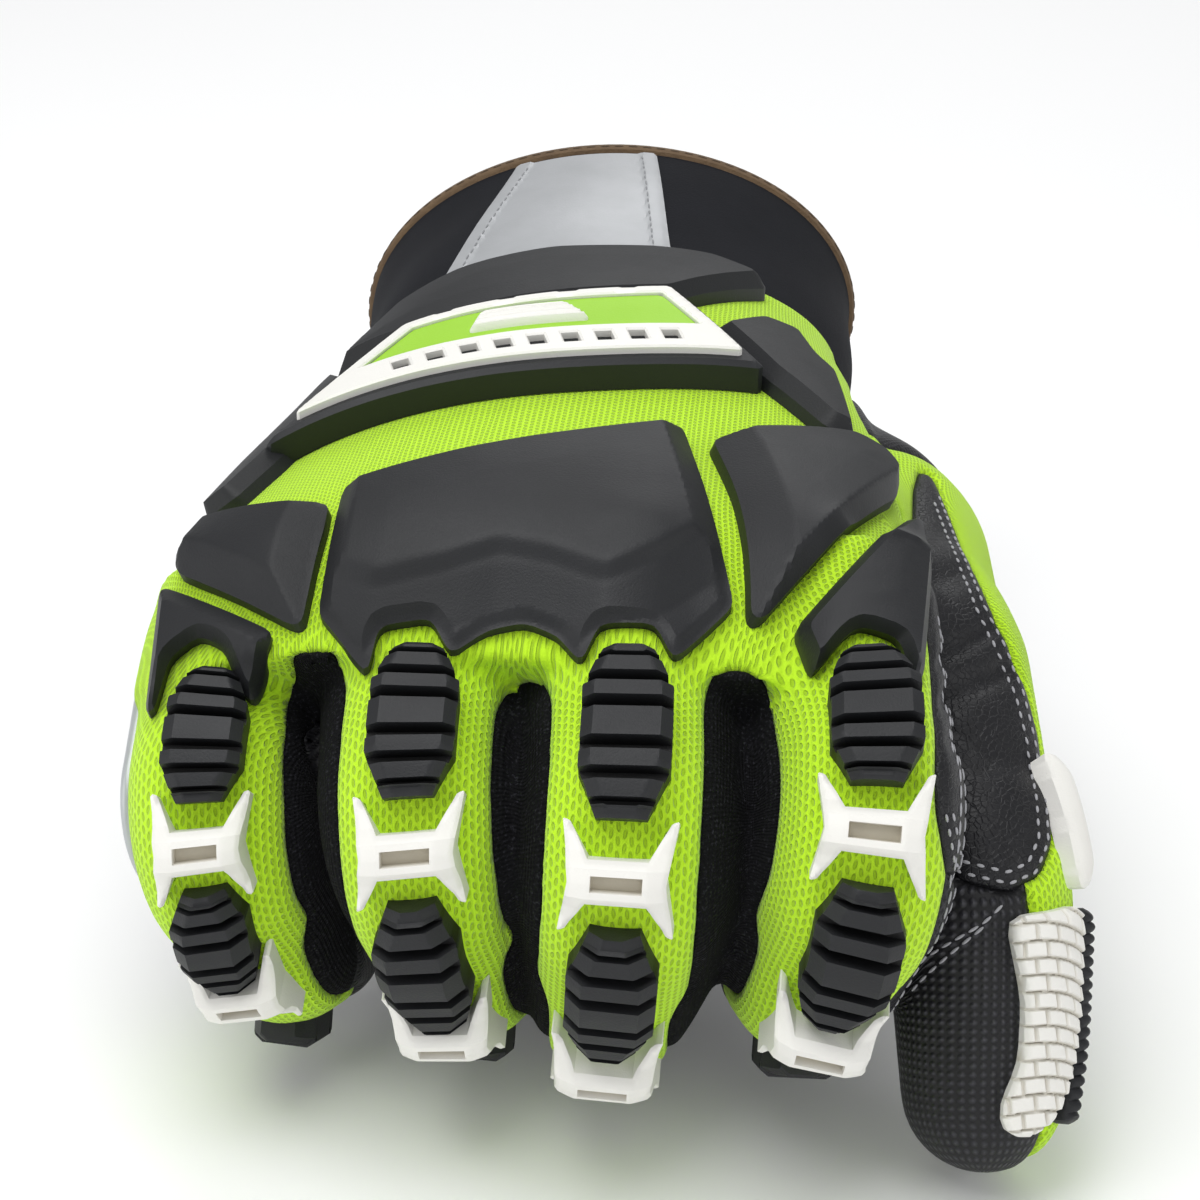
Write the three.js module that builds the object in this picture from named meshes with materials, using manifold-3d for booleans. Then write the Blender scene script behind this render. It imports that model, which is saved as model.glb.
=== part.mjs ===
// A lined impact work glove for the right hand, kept in the form of a loosely closed fist, in millimetres.
// The soft shell is hollow, as the real glove is, and open at the cuff. The hard rubber plates, ribbed
// finger pads and white clips lie on it. +Y leaves through the cuff, +X is the thumb side, +Z the back.
import * as THREE from 'three';
import { mergeVertices } from 'three/addons/utils/BufferGeometryUtils.js';
import Module from 'manifold-3d';

const wasm = await Module();
wasm.setup();

// Driving sizes. Sections and joints are given from the knuckle row; the finished group is moved so that
// the centre of the cuff's opening is the origin.
const WALL = 1.6;
const GAP = 0.3;
const CUFF_WALL = 2.6;
const CUFF_SEAM_Y = 90;
const CUFF_END_Y = 136;
const OPENING = { x: 0, y: 138, z: -18 };
const FINGER_SIDES = 10;
const HAND_SIDES = 20;
const SQUARENESS = 2.5;

// Sections across the hand, from the cuff's seam to the web between the fingers: the centre, the half
// width, the height over and under the centre, how far the little finger side drops, and the lean.
const HAND = [
  { y: 90, x: 2, z: -13, wide: 38, up: 22, down: 22, drop: 0, lean: 0 },
  { y: 70, x: 4, z: -11, wide: 40, up: 22.5, down: 24, drop: 1, lean: 0 },
  { y: 45, x: 4.5, z: -9, wide: 45, up: 21.5, down: 24, drop: 3, lean: 0 },
  { y: 20, x: 2, z: -7, wide: 50.5, up: 19.5, down: 19, drop: 6, lean: 0 },
  { y: 3, x: 0.5, z: -4, wide: 54, up: 17, down: 16, drop: 9, lean: 10 },
  { y: -8, x: 0.5, z: -7.5, wide: 54.5, up: 15.3, down: 13.5, drop: 9, lean: 24 },
  { y: -15, x: 0.5, z: -12, wide: 54, up: 13, down: 11, drop: 8, lean: 36 },
];

// Fingers: the corners of the centre line at the knuckle, the two bends and the tip, and the radius there.
const FINGERS = {
  pinky: {
    line: [[-40, 5, -10], [-40.5, -26.5, -26.5], [-33, -19.3, -50.2], [-28.5, -7, -56.8]],
    radii: [13, 11.8, 10.4, 8.8],
  },
  ring: {
    line: [[-14, 2, -3.5], [-12, -36, -19], [-6.5, -25.3, -46.2], [-3.5, -10.5, -54.2]],
    radii: [13.5, 11.5, 10.4, 9.2],
  },
  middle: {
    line: [[12.5, 1, -1], [15.5, -39.5, -18], [14, -28.3, -47.7], [13.5, -12.5, -55.7]],
    radii: [13.8, 12, 10.8, 9.5],
  },
  index: {
    line: [[40, 4, -2.5], [47.5, -35, -14], [41, -29.8, -40.7], [37, -15.5, -48.7]],
    radii: [13.8, 12, 10.8, 9.5],
  },
};
const THUMB = {
  line: [[18, 82, -14], [42, 50, -22], [50.5, 18, -17], [61.5, -12, -31], [64.5, -26.5, -58.5]],
  radii: [13.5, 21.5, 16.5, 12.8, 11.2],
  bend: 21,
};
const THUMB_SIDE = [0.85, 0.5, 0];
const FINGER_BEND = 12.5;
const ARC_STEP = 0.7;

// Where the panels meet. The finger backs are a little narrower than the fingers; the side seam runs
// lower on the little finger side; the smooth patch lies between the thumb and the first finger. Each
// finger's back and front start a little before its first bend.
const BACK_HALF_WIDTH = 10.4;
const PINKY_SIDE_DROP = 4;
const PALM_SHARE = 0.8;
const PALM_DEPTH = 12.4;
const WEB_DROP = 5;
const FINGER_START = 17;
const FINGER_REACH = 14;
const SIDE_SEAM_Z = -9;
const SIDE_SEAM_TURN = 5;
const THUMB_BACK = { start: 40, side: -0.5, low: -6 };
const THUMB_FRONT_START = 88;
const THUMB_REACH = 14;
const CROTCH = {
  at: [60, 0, -14],
  view: [-0.06, 0.88, -0.47],
  depth: [-14, 60],
  outline: [[-9, 20], [-3, 14], [0, 12], [5, 3], [9, -5], [10.2, -13], [9, -19.5], [4, -22.5], [-4, -21.5],
    [-10, -12]],
};

// The cuff's two end sections, as half sizes round their centres.
const CUFF = [
  { y: CUFF_SEAM_Y + GAP, x: 2, z: -13, wide: 39.4, high: 23.6, roll: 0 },
  { y: CUFF_END_Y, x: -0.5, z: -18, wide: 42, high: 30, roll: 7 },
];
const CUFF_SIDES = 24;
const BINDING = { proud: 0.9, width: 3.5 };
const STRIP = { thick: 0.8, outline: [[-24.5, 88.5], [11.5, 91.5], [6.5, 131.9], [-17, 131.9]] };

// Moulded plates on the back of the hand, in plan, with the height that each stands over the knit.
const PLATE_BASE = 0.3;
const PLATE_LOW = -14;
const BADGE = { outline: [[-37.5, 26], [25, 42.5], [13, 63.5], [-25.5, 51]], rim: 2.6, frame: 3.2 };
const PLATES = {
  wrist_plate: {
    high: 3.4,
    outline: [[-33.5, 57], [-22.5, 71.5], [-6, 82.5], [9, 88.5], [18, 89], [27, 85], [25, 81], [15, 67.8],
      [-26.5, 54.5]],
  },
  wing_thumb_side: {
    high: 3.4,
    outline: [[20.5, 58], [27, 65.5], [33.5, 64.5], [36.5, 56], [39.5, 52], [42.5, 33], [38, 33], [29, 43.5]],
  },
  wing_pinky_side: {
    high: 3.4,
    outline: [[-33.5, 45.5], [-36, 53], [-41, 50], [-45, 40], [-49, 28], [-49.5, 14], [-45, 13.5],
      [-41, 21.5]],
  },
  knuckle_plate: {
    high: 4.2,
    low: -7,
    outline: [[-26.7, 0.4], [17.6, 19.6], [26.7, -16.3], [19.6, -25.5], [16.9, -21.4], [9.8, -21.9],
      [8, -26.7], [4.5, -22.6], [0.2, -21.2], [-4.5, -22.2], [-9, -25], [-12, -20.9], [-18.6, -21.4],
      [-19.4, -27], [-27, -18.7]],
  },
  pinky_plate_upper: {
    high: 3.6,
    outline: [[-50, -1.5], [-47, 6], [-28.8, -1.3], [-28.7, -6], [-29.6, -19], [-31, -18.8], [-48.8, -4.6]],
  },
  pinky_plate_lower: {
    high: 3.2,
    outline: [[-50.8, -5.2], [-32.2, -20.7], [-34.4, -25], [-36.1, -24.5], [-40.1, -20.3], [-43.5, -17.3],
      [-47.3, -17.6], [-48, -24.2], [-49.3, -23.2]],
  },
  index_plate_upper: {
    high: 3.8,
    outline: [[22.8, 18.2], [26.2, 21.6], [41.4, 31], [46.6, 31], [49.2, 27.5], [48.6, 19.6], [31.6, -16.5],
      [30, -16.4]],
  },
  index_plate_lower: {
    high: 3.2,
    outline: [[50.2, 14.5], [52.2, 15], [51.8, -23.5], [50.7, -27], [48.5, -19.5], [43.3, -18.7],
      [41.5, -20.4], [37.9, -25.4], [35.1, -18]],
  },
};

// Ribbed pads and white clips along each finger. A place along it is a distance on the centre line from the
// first bend or the second bend; a size across or along a piece is measured on the outside.
const PAD = {
  high: 4.2, groove: 2.2, groovePart: 0.03, endPart: 0.6, rampPart: 0.28, slope: 1.1, crown: 0.7,
};
const PAD_RIBS = [0.09, 0.1, 0.12, 0.2, 0.12, 0.1, 0.09];
const FINGER_PADS = {
  pinky: { first: [-13.2, -2], second: [2.8, 13.8], tip: [2, 13], half: 5.3, clips: [0.6, -7.5] },
  ring: { first: [-16, -2.4], second: [3, 21.6], tip: [3.5, 15], half: 5.8, clips: [0.4, -5] },
  middle: { first: [-19, -2.4], second: [3, 20.6], tip: [3.5, 15], half: 6.1, clips: [0.4, -5] },
  index: { first: [-15, -2.8], second: [2.6, 18.4], tip: [3.5, 14.5], half: 5.9, clips: [-0.2, -5] },
};
const CLIP = { half: 8.2, tipWide: 1.22, waist: 0.86, notchDeep: 3.7, notchWide: 0.68, high: 4.4 };
const CLIP_WINDOW = { half: [3.2, 1.3], deep: 1.6 };
const TIP_PAD = { high: 3, groove: 2.2, half: 0.86, ribs: [0.3, 0.3, 0.3] };
const PAD_CLEAR = 0.4;
const THUMB_GUARD = {
  high: 2.6,
  at: 129,
  outline: [[-2.6, -14], [8, -14.5], [6.4, 6], [4.2, 14], [1, 14], [-1.6, 6]],
};
const KNUCKLE_GUARD = { high: 3, at: 107, outline: [[6, -6], [10.4, -5.5], [10.4, 5], [7, 6]] };
const EDGE_STRIP = { high: 2.4, range: [115.5, 141], side: [9.4, 12.4] };
const PIPING = { radius: 1.1, sides: 8, range: [8, 64], out: -5.5 };

const vector = ([x, y, z]) => new THREE.Vector3(x, y, z);

// A geometry as a solid that can be joined and cut, with its faces turned out.
function solid(geometry) {
  const bare = geometry.clone();
  bare.deleteAttribute('normal');
  bare.deleteAttribute('uv');
  const merged = mergeVertices(bare, 1e-4);
  const vertProperties = merged.attributes.position.array;
  const triVerts = new Uint32Array(merged.index.array);
  const made = new wasm.Manifold(new wasm.Mesh({ numProp: 3, vertProperties, triVerts }));
  if (made.volume() > 0) return made;
  for (let i = 0; i < triVerts.length; i += 3) {
    [triVerts[i + 1], triVerts[i + 2]] = [triVerts[i + 2], triVerts[i + 1]];
  }
  return new wasm.Manifold(new wasm.Mesh({ numProp: 3, vertProperties, triVerts }));
}

const joined = (solids) => solids.reduce((all, next) => all.add(next));

// A closed surface through rings of points, each end closed by a fan to its centre.
function loft(rings) {
  const count = rings[0].length;
  const corners = [];
  const face = (...points) => points.forEach((point) => corners.push(...point));
  rings.slice(1).forEach((ring, i) => {
    ring.forEach((point, j) => {
      const k = (j + 1) % count;
      face(rings[i][j], rings[i][k], point);
      face(rings[i][k], ring[k], point);
    });
  });
  const centre = (ring) => ring.reduce((sum, p) => sum.add(p), new THREE.Vector3()).divideScalar(count);
  const [start, end] = [rings[0], rings.at(-1)];
  start.forEach((point, j) => face(centre(start), start[(j + 1) % count], point));
  end.forEach((point, j) => face(centre(end), point, end[(j + 1) % count]));
  return new THREE.BufferGeometry().setAttribute('position', new THREE.Float32BufferAttribute(corners, 3));
}

// Places along a bent centre line, its straight runs joined by arcs: each has its distance from the start,
// the direction onwards, the sideways axis, the outward axis on the back, and the radius.
function stations({ line, radii, bend = FINGER_BEND }, sideways) {
  const corners = line.map(vector);
  const list = [];
  const bends = [];
  const add = (at, along, radius) => {
    const side = sideways.clone().addScaledVector(along, -sideways.dot(along)).normalize();
    const out = new THREE.Vector3().crossVectors(along, side);
    const s = list.length ? list.at(-1).s + at.distanceTo(list.at(-1).at) : 0;
    list.push({ s, at, along: along.clone(), side, out, radius });
  };
  const heading = (i) => corners[i + 1].clone().sub(corners[i]).normalize();
  add(corners[0], heading(0), radii[0]);
  for (let i = 1; i + 1 < corners.length; i += 1) {
    const [before, after] = [heading(i - 1), heading(i)];
    const turn = before.angleTo(after);
    const axis = new THREE.Vector3().crossVectors(before, after).normalize();
    const inward = after.clone().sub(before).normalize();
    const pivot = corners[i].clone().addScaledVector(inward, bend / Math.cos(turn / 2));
    const arm = corners[i].clone().addScaledVector(before, -bend * Math.tan(turn / 2)).sub(pivot);
    const steps = Math.max(1, Math.ceil(turn / ARC_STEP));
    for (let k = 0; k <= steps; k += 1) {
      const angle = (turn * k) / steps;
      const spoke = arm.clone().applyAxisAngle(axis, angle);
      add(spoke.add(pivot), before.clone().applyAxisAngle(axis, angle), radii[i]);
    }
    bends.push((list.at(-1).s + list.at(-1 - steps).s) / 2);
  }
  add(corners.at(-1), heading(corners.length - 2), radii.at(-1));
  list.bends = bends;
  return list;
}

// The station at a distance along the line, between its two neighbours.
function stationAt(list, s) {
  const next = Math.max(1, list.findIndex((station) => station.s >= s));
  const [a, b] = s > list.at(-1).s ? list.slice(-2) : [list[next - 1], list[next]];
  const part = (s - a.s) / (b.s - a.s);
  const mix = (key) => a[key].clone().lerp(b[key], part);
  const radius = THREE.MathUtils.lerp(a.radius, b.radius, THREE.MathUtils.clamp(part, 0, 1));
  return { at: mix('at'), along: mix('along').normalize(), side: mix('side').normalize(),
    out: mix('out').normalize(), radius };
}

const offset = (station, side, out, along = 0) =>
  station.at.clone().addScaledVector(station.side, side).addScaledVector(station.out, out)
    .addScaledVector(station.along, along);

// A finger or thumb tube, grown by an amount on its back and sides. The palm side never grows past the
// bend's own radius. The end is rounded.
function tube(list, grow) {
  const ring = (station, scale, ahead) => {
    const wide = (station.radius + grow) * scale;
    const palm = (station.radius + Math.min(grow, 0)) * scale;
    return Array.from({ length: FINGER_SIDES }, (_, i) => {
      const angle = ((i + 0.5) / FINGER_SIDES) * 2 * Math.PI;
      const lift = Math.sin(angle);
      return offset(station, wide * Math.cos(angle), lift * (lift > 0 ? wide : palm), ahead);
    });
  };
  const rings = list.map((station) => ring(station, 1, 0));
  const tip = list.at(-1);
  [0.5, 0.87, 0.985].forEach((rise) => {
    rings.push(ring(tip, Math.sqrt(1 - rise * rise), rise * (tip.radius + grow)));
  });
  return solid(loft(rings));
}

// The hand between the cuff's seam and the web, grown by an amount. With an overrun it starts past the seam.
function handLoft(grow, overrun = 0) {
  const rows = HAND.map((row) => ({ ...row }));
  const lean = THREE.MathUtils.degToRad(rows.at(-1).lean);
  rows.at(-1).y -= grow * Math.cos(lean);
  rows.at(-1).z -= grow * Math.sin(lean);
  if (overrun) rows.unshift({ ...rows[0], y: rows[0].y + overrun });
  return solid(loft(rows.map((row) => {
    const tilt = THREE.MathUtils.degToRad(row.lean);
    return Array.from({ length: HAND_SIDES }, (_, i) => {
      const angle = (i / HAND_SIDES) * 2 * Math.PI;
      const square = (value) => Math.sign(value) * Math.abs(value) ** (2 / SQUARENESS);
      const x = (row.wide + grow) * square(Math.cos(angle));
      const rise = square(Math.sin(angle)) * ((angle < Math.PI ? row.up : row.down) + grow);
      const height = rise - (x < 0 ? row.drop * (x / row.wide) ** 2 : 0);
      return new THREE.Vector3(row.x + x, row.y - height * Math.sin(tilt), row.z + height * Math.cos(tilt));
    });
  })));
}

const paths = Object.fromEntries(
  Object.entries(FINGERS).map(([name, finger]) => [name, stations(finger, new THREE.Vector3(1, 0, 0))]),
);
const thumbPath = stations(THUMB, vector(THUMB_SIDE));

function body(grow, overrun = 0) {
  const tubes = Object.values(paths).map((list) => tube(list, grow));
  return joined([handLoft(grow, overrun), ...tubes, tube(thumbPath, grow)]);
}

// The largest body of a cut, without the crumbs that a cut can leave at an edge.
const largest = (cut) => cut.decompose().sort((a, b) => b.volume() - a.volume())[0];

// A straight-sided cutter: an outline drawn in two axes, extruded along the third from one height to
// another. Its frame says where the outline's own axes and its depth point.
function prism(outline, [from, to], frame = new THREE.Matrix4()) {
  const shape = new THREE.Shape(outline.map(([x, y]) => new THREE.Vector2(x, y)));
  const geometry = new THREE.ExtrudeGeometry(shape, { depth: to - from, bevelEnabled: false });
  geometry.translate(0, 0, from).applyMatrix4(frame);
  return solid(geometry);
}

const frameOf = (side, along, out, at) => new THREE.Matrix4().makeBasis(side, along, out).setPosition(at);
const SEEN_FROM_SIDE = frameOf(vector([0, 1, 0]), vector([0, 0, 1]), vector([1, 0, 0]), vector([0, 0, 0]));

// An outline grown by an amount all round its middle.
function grown(outline, amount) {
  const middle = [0, 1].map((axis) => outline.reduce((sum, p) => sum + p[axis], 0) / outline.length);
  return outline.map((p) => {
    const arm = [p[0] - middle[0], p[1] - middle[1]];
    const reach = Math.hypot(...arm);
    return [p[0] + (arm[0] / reach) * amount, p[1] + (arm[1] / reach) * amount];
  });
}

// An outline and its four diagonal shifts, whose cutters together clear it by an amount all round.
const around = (outline, amount) => [[0, 0], [1, 1], [1, -1], [-1, 1], [-1, -1]].map(([right, up]) =>
  outline.map(([x, y]) => [x + right * amount, y + up * amount]));

// A bar that follows a path between two distances, with its limits sideways and outwards.
function band(list, [start, end], [left, right], [low, high]) {
  const inside = list.filter((station) => station.s > start && station.s < end);
  const ends = [stationAt(list, start), ...inside, stationAt(list, end)];
  return solid(loft(ends.map((station) => [
    offset(station, left, low), offset(station, right, low), offset(station, right, high),
    offset(station, left, high),
  ])));
}

// The soft shell, divided into its panels. Each panel is its own region of the shell, less a gap round
// the regions that were taken before it.
const shell = body(0).subtract(body(-WALL, 5));
const order = ['pinky', 'ring', 'middle', 'index'];

const crotchRegion = (grow) => {
  const view = vector(CROTCH.view).normalize();
  const right = new THREE.Vector3().crossVectors(view, vector([0, 0, 1])).normalize();
  const up = new THREE.Vector3().crossVectors(right, view);
  return prism(grown(CROTCH.outline, grow), CROTCH.depth, frameOf(right, up, view.clone().negate(),
    vector(CROTCH.at)));
};
const thumbBackRegion = (grow) => band(thumbPath, [THUMB_BACK.start - grow, 200],
  [THUMB_BACK.side - grow, 20 + grow], [THUMB_BACK.low - grow, 20 + grow]);
const thumbFrontRegion = (grow) => band(thumbPath, [THUMB_FRONT_START - grow, 200],
  [-THUMB_REACH, THUMB_REACH], [-THUMB_REACH, THUMB_REACH]);
const handBackRegion = (grow) => {
  const lean = THREE.MathUtils.degToRad(HAND.at(-1).lean);
  const [webY, webZ] = [HAND.at(-1).y + WALL, HAND.at(-1).z];
  const rise = SIDE_SEAM_Z - webZ;
  const reach = 60;
  const outline = [
    [100, SIDE_SEAM_Z - grow], [100, reach],
    [webY - reach * Math.tan(lean) - grow, webZ + reach],
    [webY - rise * Math.tan(lean) - grow, SIDE_SEAM_Z - grow],
  ];
  const turned = new THREE.Matrix4().makeRotationY(THREE.MathUtils.degToRad(-SIDE_SEAM_TURN));
  return prism(outline, [-90, 90], turned.multiply(SEEN_FROM_SIDE));
};
const backRegion = (grow) => joined([
  handBackRegion(grow),
  ...order.map((name) => {
    const list = paths[name];
    const outer = name === 'pinky' ? -30 : -BACK_HALF_WIDTH - grow;
    const low = name === 'pinky' ? -PINKY_SIDE_DROP - grow : -grow;
    const range = [0, list.at(-1).s + grow];
    return band(list, range, [outer, BACK_HALF_WIDTH + grow], [low, 30]);
  }),
]);
const palmRegion = (grow) => joined(order.map((name) => {
  const list = paths[name];
  const half = list.at(-1).radius * PALM_SHARE + grow;
  const front = band(list, [0, list.at(-1).s + 20], [-half, half], [-PALM_DEPTH, grow - 4]);
  return front.add(band(list, [list.at(-1).s - grow, list.at(-1).s + 20], [-20, 20], [-20, 20]));
}));
const handPalmRegion = (grow) => {
  const web = HAND.at(-1);
  const outline = [[web.y - 2, web.z - WEB_DROP + grow], [100, web.z + grow], [100, -80], [web.y - 2, -80]];
  return prism(outline, [-90, 90],
    SEEN_FROM_SIDE);
};
const gapRegion = (left, right, grow) => {
  const [a, b] = [FINGERS[left].line, FINGERS[right].line];
  const side = ([knuckle, bend], shift) =>
    [[knuckle[0] + shift, knuckle[1] + 2 * grow], [bend[0] + shift, bend[1]], [bend[0] + shift, -60]];
  const outline = [...side(a, -grow), ...side(b, grow).reverse()];
  return prism(outline, [-80, 30]);
};

// Everything on the little finger's side of the middle between two fingers.
const leftOf = (left, right, shift) => {
  const middle = FINGERS[left].line.map(([x, , z], i) =>
    [(x + FINGERS[right].line[i][0]) / 2 + shift, (z + FINGERS[right].line[i][2]) / 2]);
  const outline = [[-150, 80], [middle[0][0], 80], ...middle, [middle.at(-1)[0], -100], [-150, -100]];
  const forward = frameOf(vector([1, 0, 0]), vector([0, 0, 1]), vector([0, -1, 0]), vector([0, 0, 0]));
  return prism(outline, [-100, 100], forward);
};
const fingerRegion = (name, grow) => {
  const list = paths[name];
  const [before, after] = [order[order.indexOf(name) - 1], order[order.indexOf(name) + 1]];
  let region = band(list, [list.bends[0] - FINGER_START - grow, 200],
    [-FINGER_REACH - grow, FINGER_REACH + grow], [-PALM_DEPTH, 30]);
  if (before) region = region.subtract(leftOf(before, name, -grow));
  if (after) region = region.intersect(leftOf(name, after, grow));
  return region;
};

const crotch = crotchRegion(0);
const pieces = {};
const taken = crotchRegion(GAP);
pieces.thumb_crotch_patch = largest(shell.intersect(crotch));
pieces.thumb_back_panel = largest(shell.intersect(thumbBackRegion(0)).subtract(taken));
const takenByThumb = taken.add(thumbBackRegion(GAP));
const back = shell.intersect(backRegion(0)).subtract(takenByThumb);
const fingersTaken = joined(order.map((name) => fingerRegion(name, GAP / 2)));
pieces.back_panel = largest(back.subtract(fingersTaken));
order.forEach((name) => {
  pieces[`${name}_back_panel`] = largest(back.intersect(fingerRegion(name, -GAP / 2)));
});
const takenByBack = takenByThumb.add(backRegion(GAP));
const gaps = order.slice(1).map((right, i) => [order[i], right]);
gaps.forEach(([left, right]) => {
  const region = gapRegion(left, right, 0).subtract(palmRegion(GAP)).subtract(handPalmRegion(GAP));
  pieces[`fourchette_${left}_${right}`] = largest(shell.intersect(region).subtract(takenByBack));
});
const gapsTaken = joined(gaps.map(([left, right]) => gapRegion(left, right, GAP)))
  .subtract(palmRegion(0)).subtract(handPalmRegion(0));
const front = shell.subtract(takenByBack).subtract(gapsTaken);
const fourchettes = joined(gaps.map(([left, right]) => pieces[`fourchette_${left}_${right}`]));
pieces.thumb_front_panel = largest(front.intersect(thumbFrontRegion(0)).subtract(fourchettes));
const palm = front.subtract(thumbFrontRegion(GAP)).subtract(fourchettes);
pieces.palm_panel = largest(palm.subtract(fingersTaken));
order.forEach((name) => {
  pieces[`${name}_front_panel`] = largest(palm.intersect(fingerRegion(name, -GAP / 2)));
});

// The cuff: a sleeve between its two end sections, grown outwards and inwards, and cut to a range in y.
function cuffLoft(grow, from, to) {
  const [a, b] = CUFF;
  return solid(loft([from, to].map((y) => {
    const part = (y - a.y) / (b.y - a.y);
    const mix = (key) => THREE.MathUtils.lerp(a[key], b[key], part);
    return Array.from({ length: CUFF_SIDES }, (_, i) => {
      const angle = (i / CUFF_SIDES) * 2 * Math.PI;
      const across = (mix('wide') + grow) * Math.cos(angle);
      const rim = new THREE.Vector2(across, (mix('high') + grow) * Math.sin(angle))
        .rotateAround(new THREE.Vector2(), THREE.MathUtils.degToRad(mix('roll')));
      return new THREE.Vector3(mix('x') + rim.x, y, mix('z') + rim.y);
    });
  })));
}
const sleeve = (out, into, from, to) =>
  cuffLoft(out, from, to).subtract(cuffLoft(-into, from - 1, to + 1));
const cuffStart = CUFF[0].y;
pieces.cuff = sleeve(0, CUFF_WALL, cuffStart, CUFF_END_Y);
pieces.cuff_binding = sleeve(BINDING.proud, CUFF_WALL + BINDING.proud, CUFF_END_Y - BINDING.width,
  CUFF_END_Y + BINDING.proud)
  .subtract(sleeve(GAP, CUFF_WALL + GAP, CUFF_END_Y - BINDING.width - 1, CUFF_END_Y + GAP));
const stripLayer = cuffLoft(GAP + STRIP.thick, cuffStart, CUFF_END_Y)
  .subtract(cuffLoft(GAP, cuffStart - 1, CUFF_END_Y + 1));

// Plates: each outline cuts its piece from a layer over the shell.
const layer = (high, low = PLATE_BASE) => body(high, 8).subtract(body(low, 10));
const plan = (outline, low = PLATE_LOW) => prism(outline, [low, 60]);
const badgeBlock = plan(grown(BADGE.outline, BADGE.rim));
const overCuff = cuffLoft(GAP, cuffStart - 4, CUFF_END_Y);
Object.entries(PLATES).forEach(([name, { high, low, outline }]) => {
  let plate = layer(high).intersect(plan(outline, low));
  if (name.startsWith('wrist') || name.startsWith('wing')) {
    plate = plate.subtract(plan(grown(BADGE.outline, BADGE.rim + GAP))).subtract(overCuff);
  }
  pieces[name] = largest(plate);
});
pieces.reflective_strip = largest(stripLayer.intersect(plan(STRIP.outline))
  .subtract(layer(PLATES.wrist_plate.high + GAP, 0).intersect(plan(grown(PLATES.wrist_plate.outline, GAP)))));
pieces.badge_base = largest(layer(5).intersect(badgeBlock));
const badgeField = plan(grown(BADGE.outline, -BADGE.frame));
pieces.badge_frame = largest(layer(6.4, 5.3).intersect(plan(BADGE.outline)).subtract(badgeField));
pieces.badge_field = largest(layer(5.9, 5.3).intersect(plan(grown(BADGE.outline, -BADGE.frame - GAP))));

// Distances along a path that divide its outer side between two places into equal or named shares.
function shareToDistance(list, [from, to]) {
  const steps = 60;
  const outer = (s) => offset(stationAt(list, s), 0, stationAt(list, s).radius);
  const table = [{ s: from, walked: 0 }];
  for (let i = 1; i <= steps; i += 1) {
    const s = from + ((to - from) * i) / steps;
    table.push({ s, walked: table.at(-1).walked + outer(s).distanceTo(outer(table.at(-1).s)) });
  }
  return (share) => {
    const goal = share * table.at(-1).walked;
    const next = Math.max(1, table.findIndex((row) => row.walked >= goal - 1e-9));
    const [a, b] = [table[next - 1], table[next]];
    return a.s + ((b.s - a.s) * (goal - a.walked)) / (b.walked - a.walked);
  };
}

// A ribbed pad: an eight-sided plate bent over the finger, cut across by grooves, with leaning sides.
function ribbedPad(list, range, half, ribs, high, groove) {
  const place = shareToDistance(list, range);
  const total = ribs.reduce((sum, rib) => sum + rib, 0) + PAD.groovePart * (ribs.length - 1);
  const rings = [];
  const ring = (share, rise) => {
    const station = stationAt(list, place(THREE.MathUtils.clamp(share, 0, 1)));
    const ramp = Math.min(1, Math.min(share, 1 - share) / PAD.rampPart);
    const wide = half * THREE.MathUtils.lerp(PAD.endPart, 1, Math.max(0, ramp));
    const seat = station.radius + PLATE_BASE;
    const under = (side) => offset(station, side, Math.sqrt(seat * seat - side * side));
    const over = (side, drop) => offset(station, side, seat + rise - drop);
    const inset = wide - PAD.slope;
    rings.push([under(-wide), under(-wide / 2), under(0), under(wide / 2), under(wide),
      over(inset, PAD.crown), over(0, 0), over(-inset, PAD.crown)]);
  };
  let at = 0;
  ribs.forEach((rib, i) => {
    const rise = i === 0 || i === ribs.length - 1 ? (high + groove) / 2 : high;
    ring(at / total, rise);
    ring((at + rib) / total, rise);
    at += rib;
    if (i + 1 < ribs.length) ring((at + PAD.groovePart / 2) / total, groove);
    at += PAD.groovePart;
  });
  return solid(loft(rings));
}

// An outline on the outside of a path, centred at a distance, cut from a layer over the tube.
function onTube(list, s, outline, high, low = PLATE_BASE) {
  const station = stationAt(list, s);
  const frame = frameOf(station.side, station.along, station.out, offset(station, 0, station.radius));
  const cover = tube(list, high).subtract(tube(list, low));
  return cover.intersect(prism(outline, [-7, 9], frame));
}

// An H-shaped clip with flared legs, and a shallow window in its middle.
function clipOutline(half) {
  const quarter = [[half * CLIP.tipWide, CLIP.half], [half * CLIP.notchWide, CLIP.half - CLIP.notchDeep]];
  const waist = half * CLIP.waist;
  return [...quarter, ...quarter.map(([x, y]) => [-x, y]).reverse(), [-waist, 0],
    ...quarter.map(([x, y]) => [-x, -y]), ...quarter.map(([x, y]) => [x, -y]).reverse(), [waist, 0]];
}
function clip(list, s, half) {
  const [wx, wy] = CLIP_WINDOW.half;
  const window = [[-wx, -wy], [wx, -wy], [wx, wy], [-wx, wy]];
  const cut = onTube(list, s, window, CLIP.high + 1, CLIP.high - CLIP_WINDOW.deep);
  return onTube(list, s, clipOutline(half), CLIP.high).subtract(cut);
}

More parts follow.
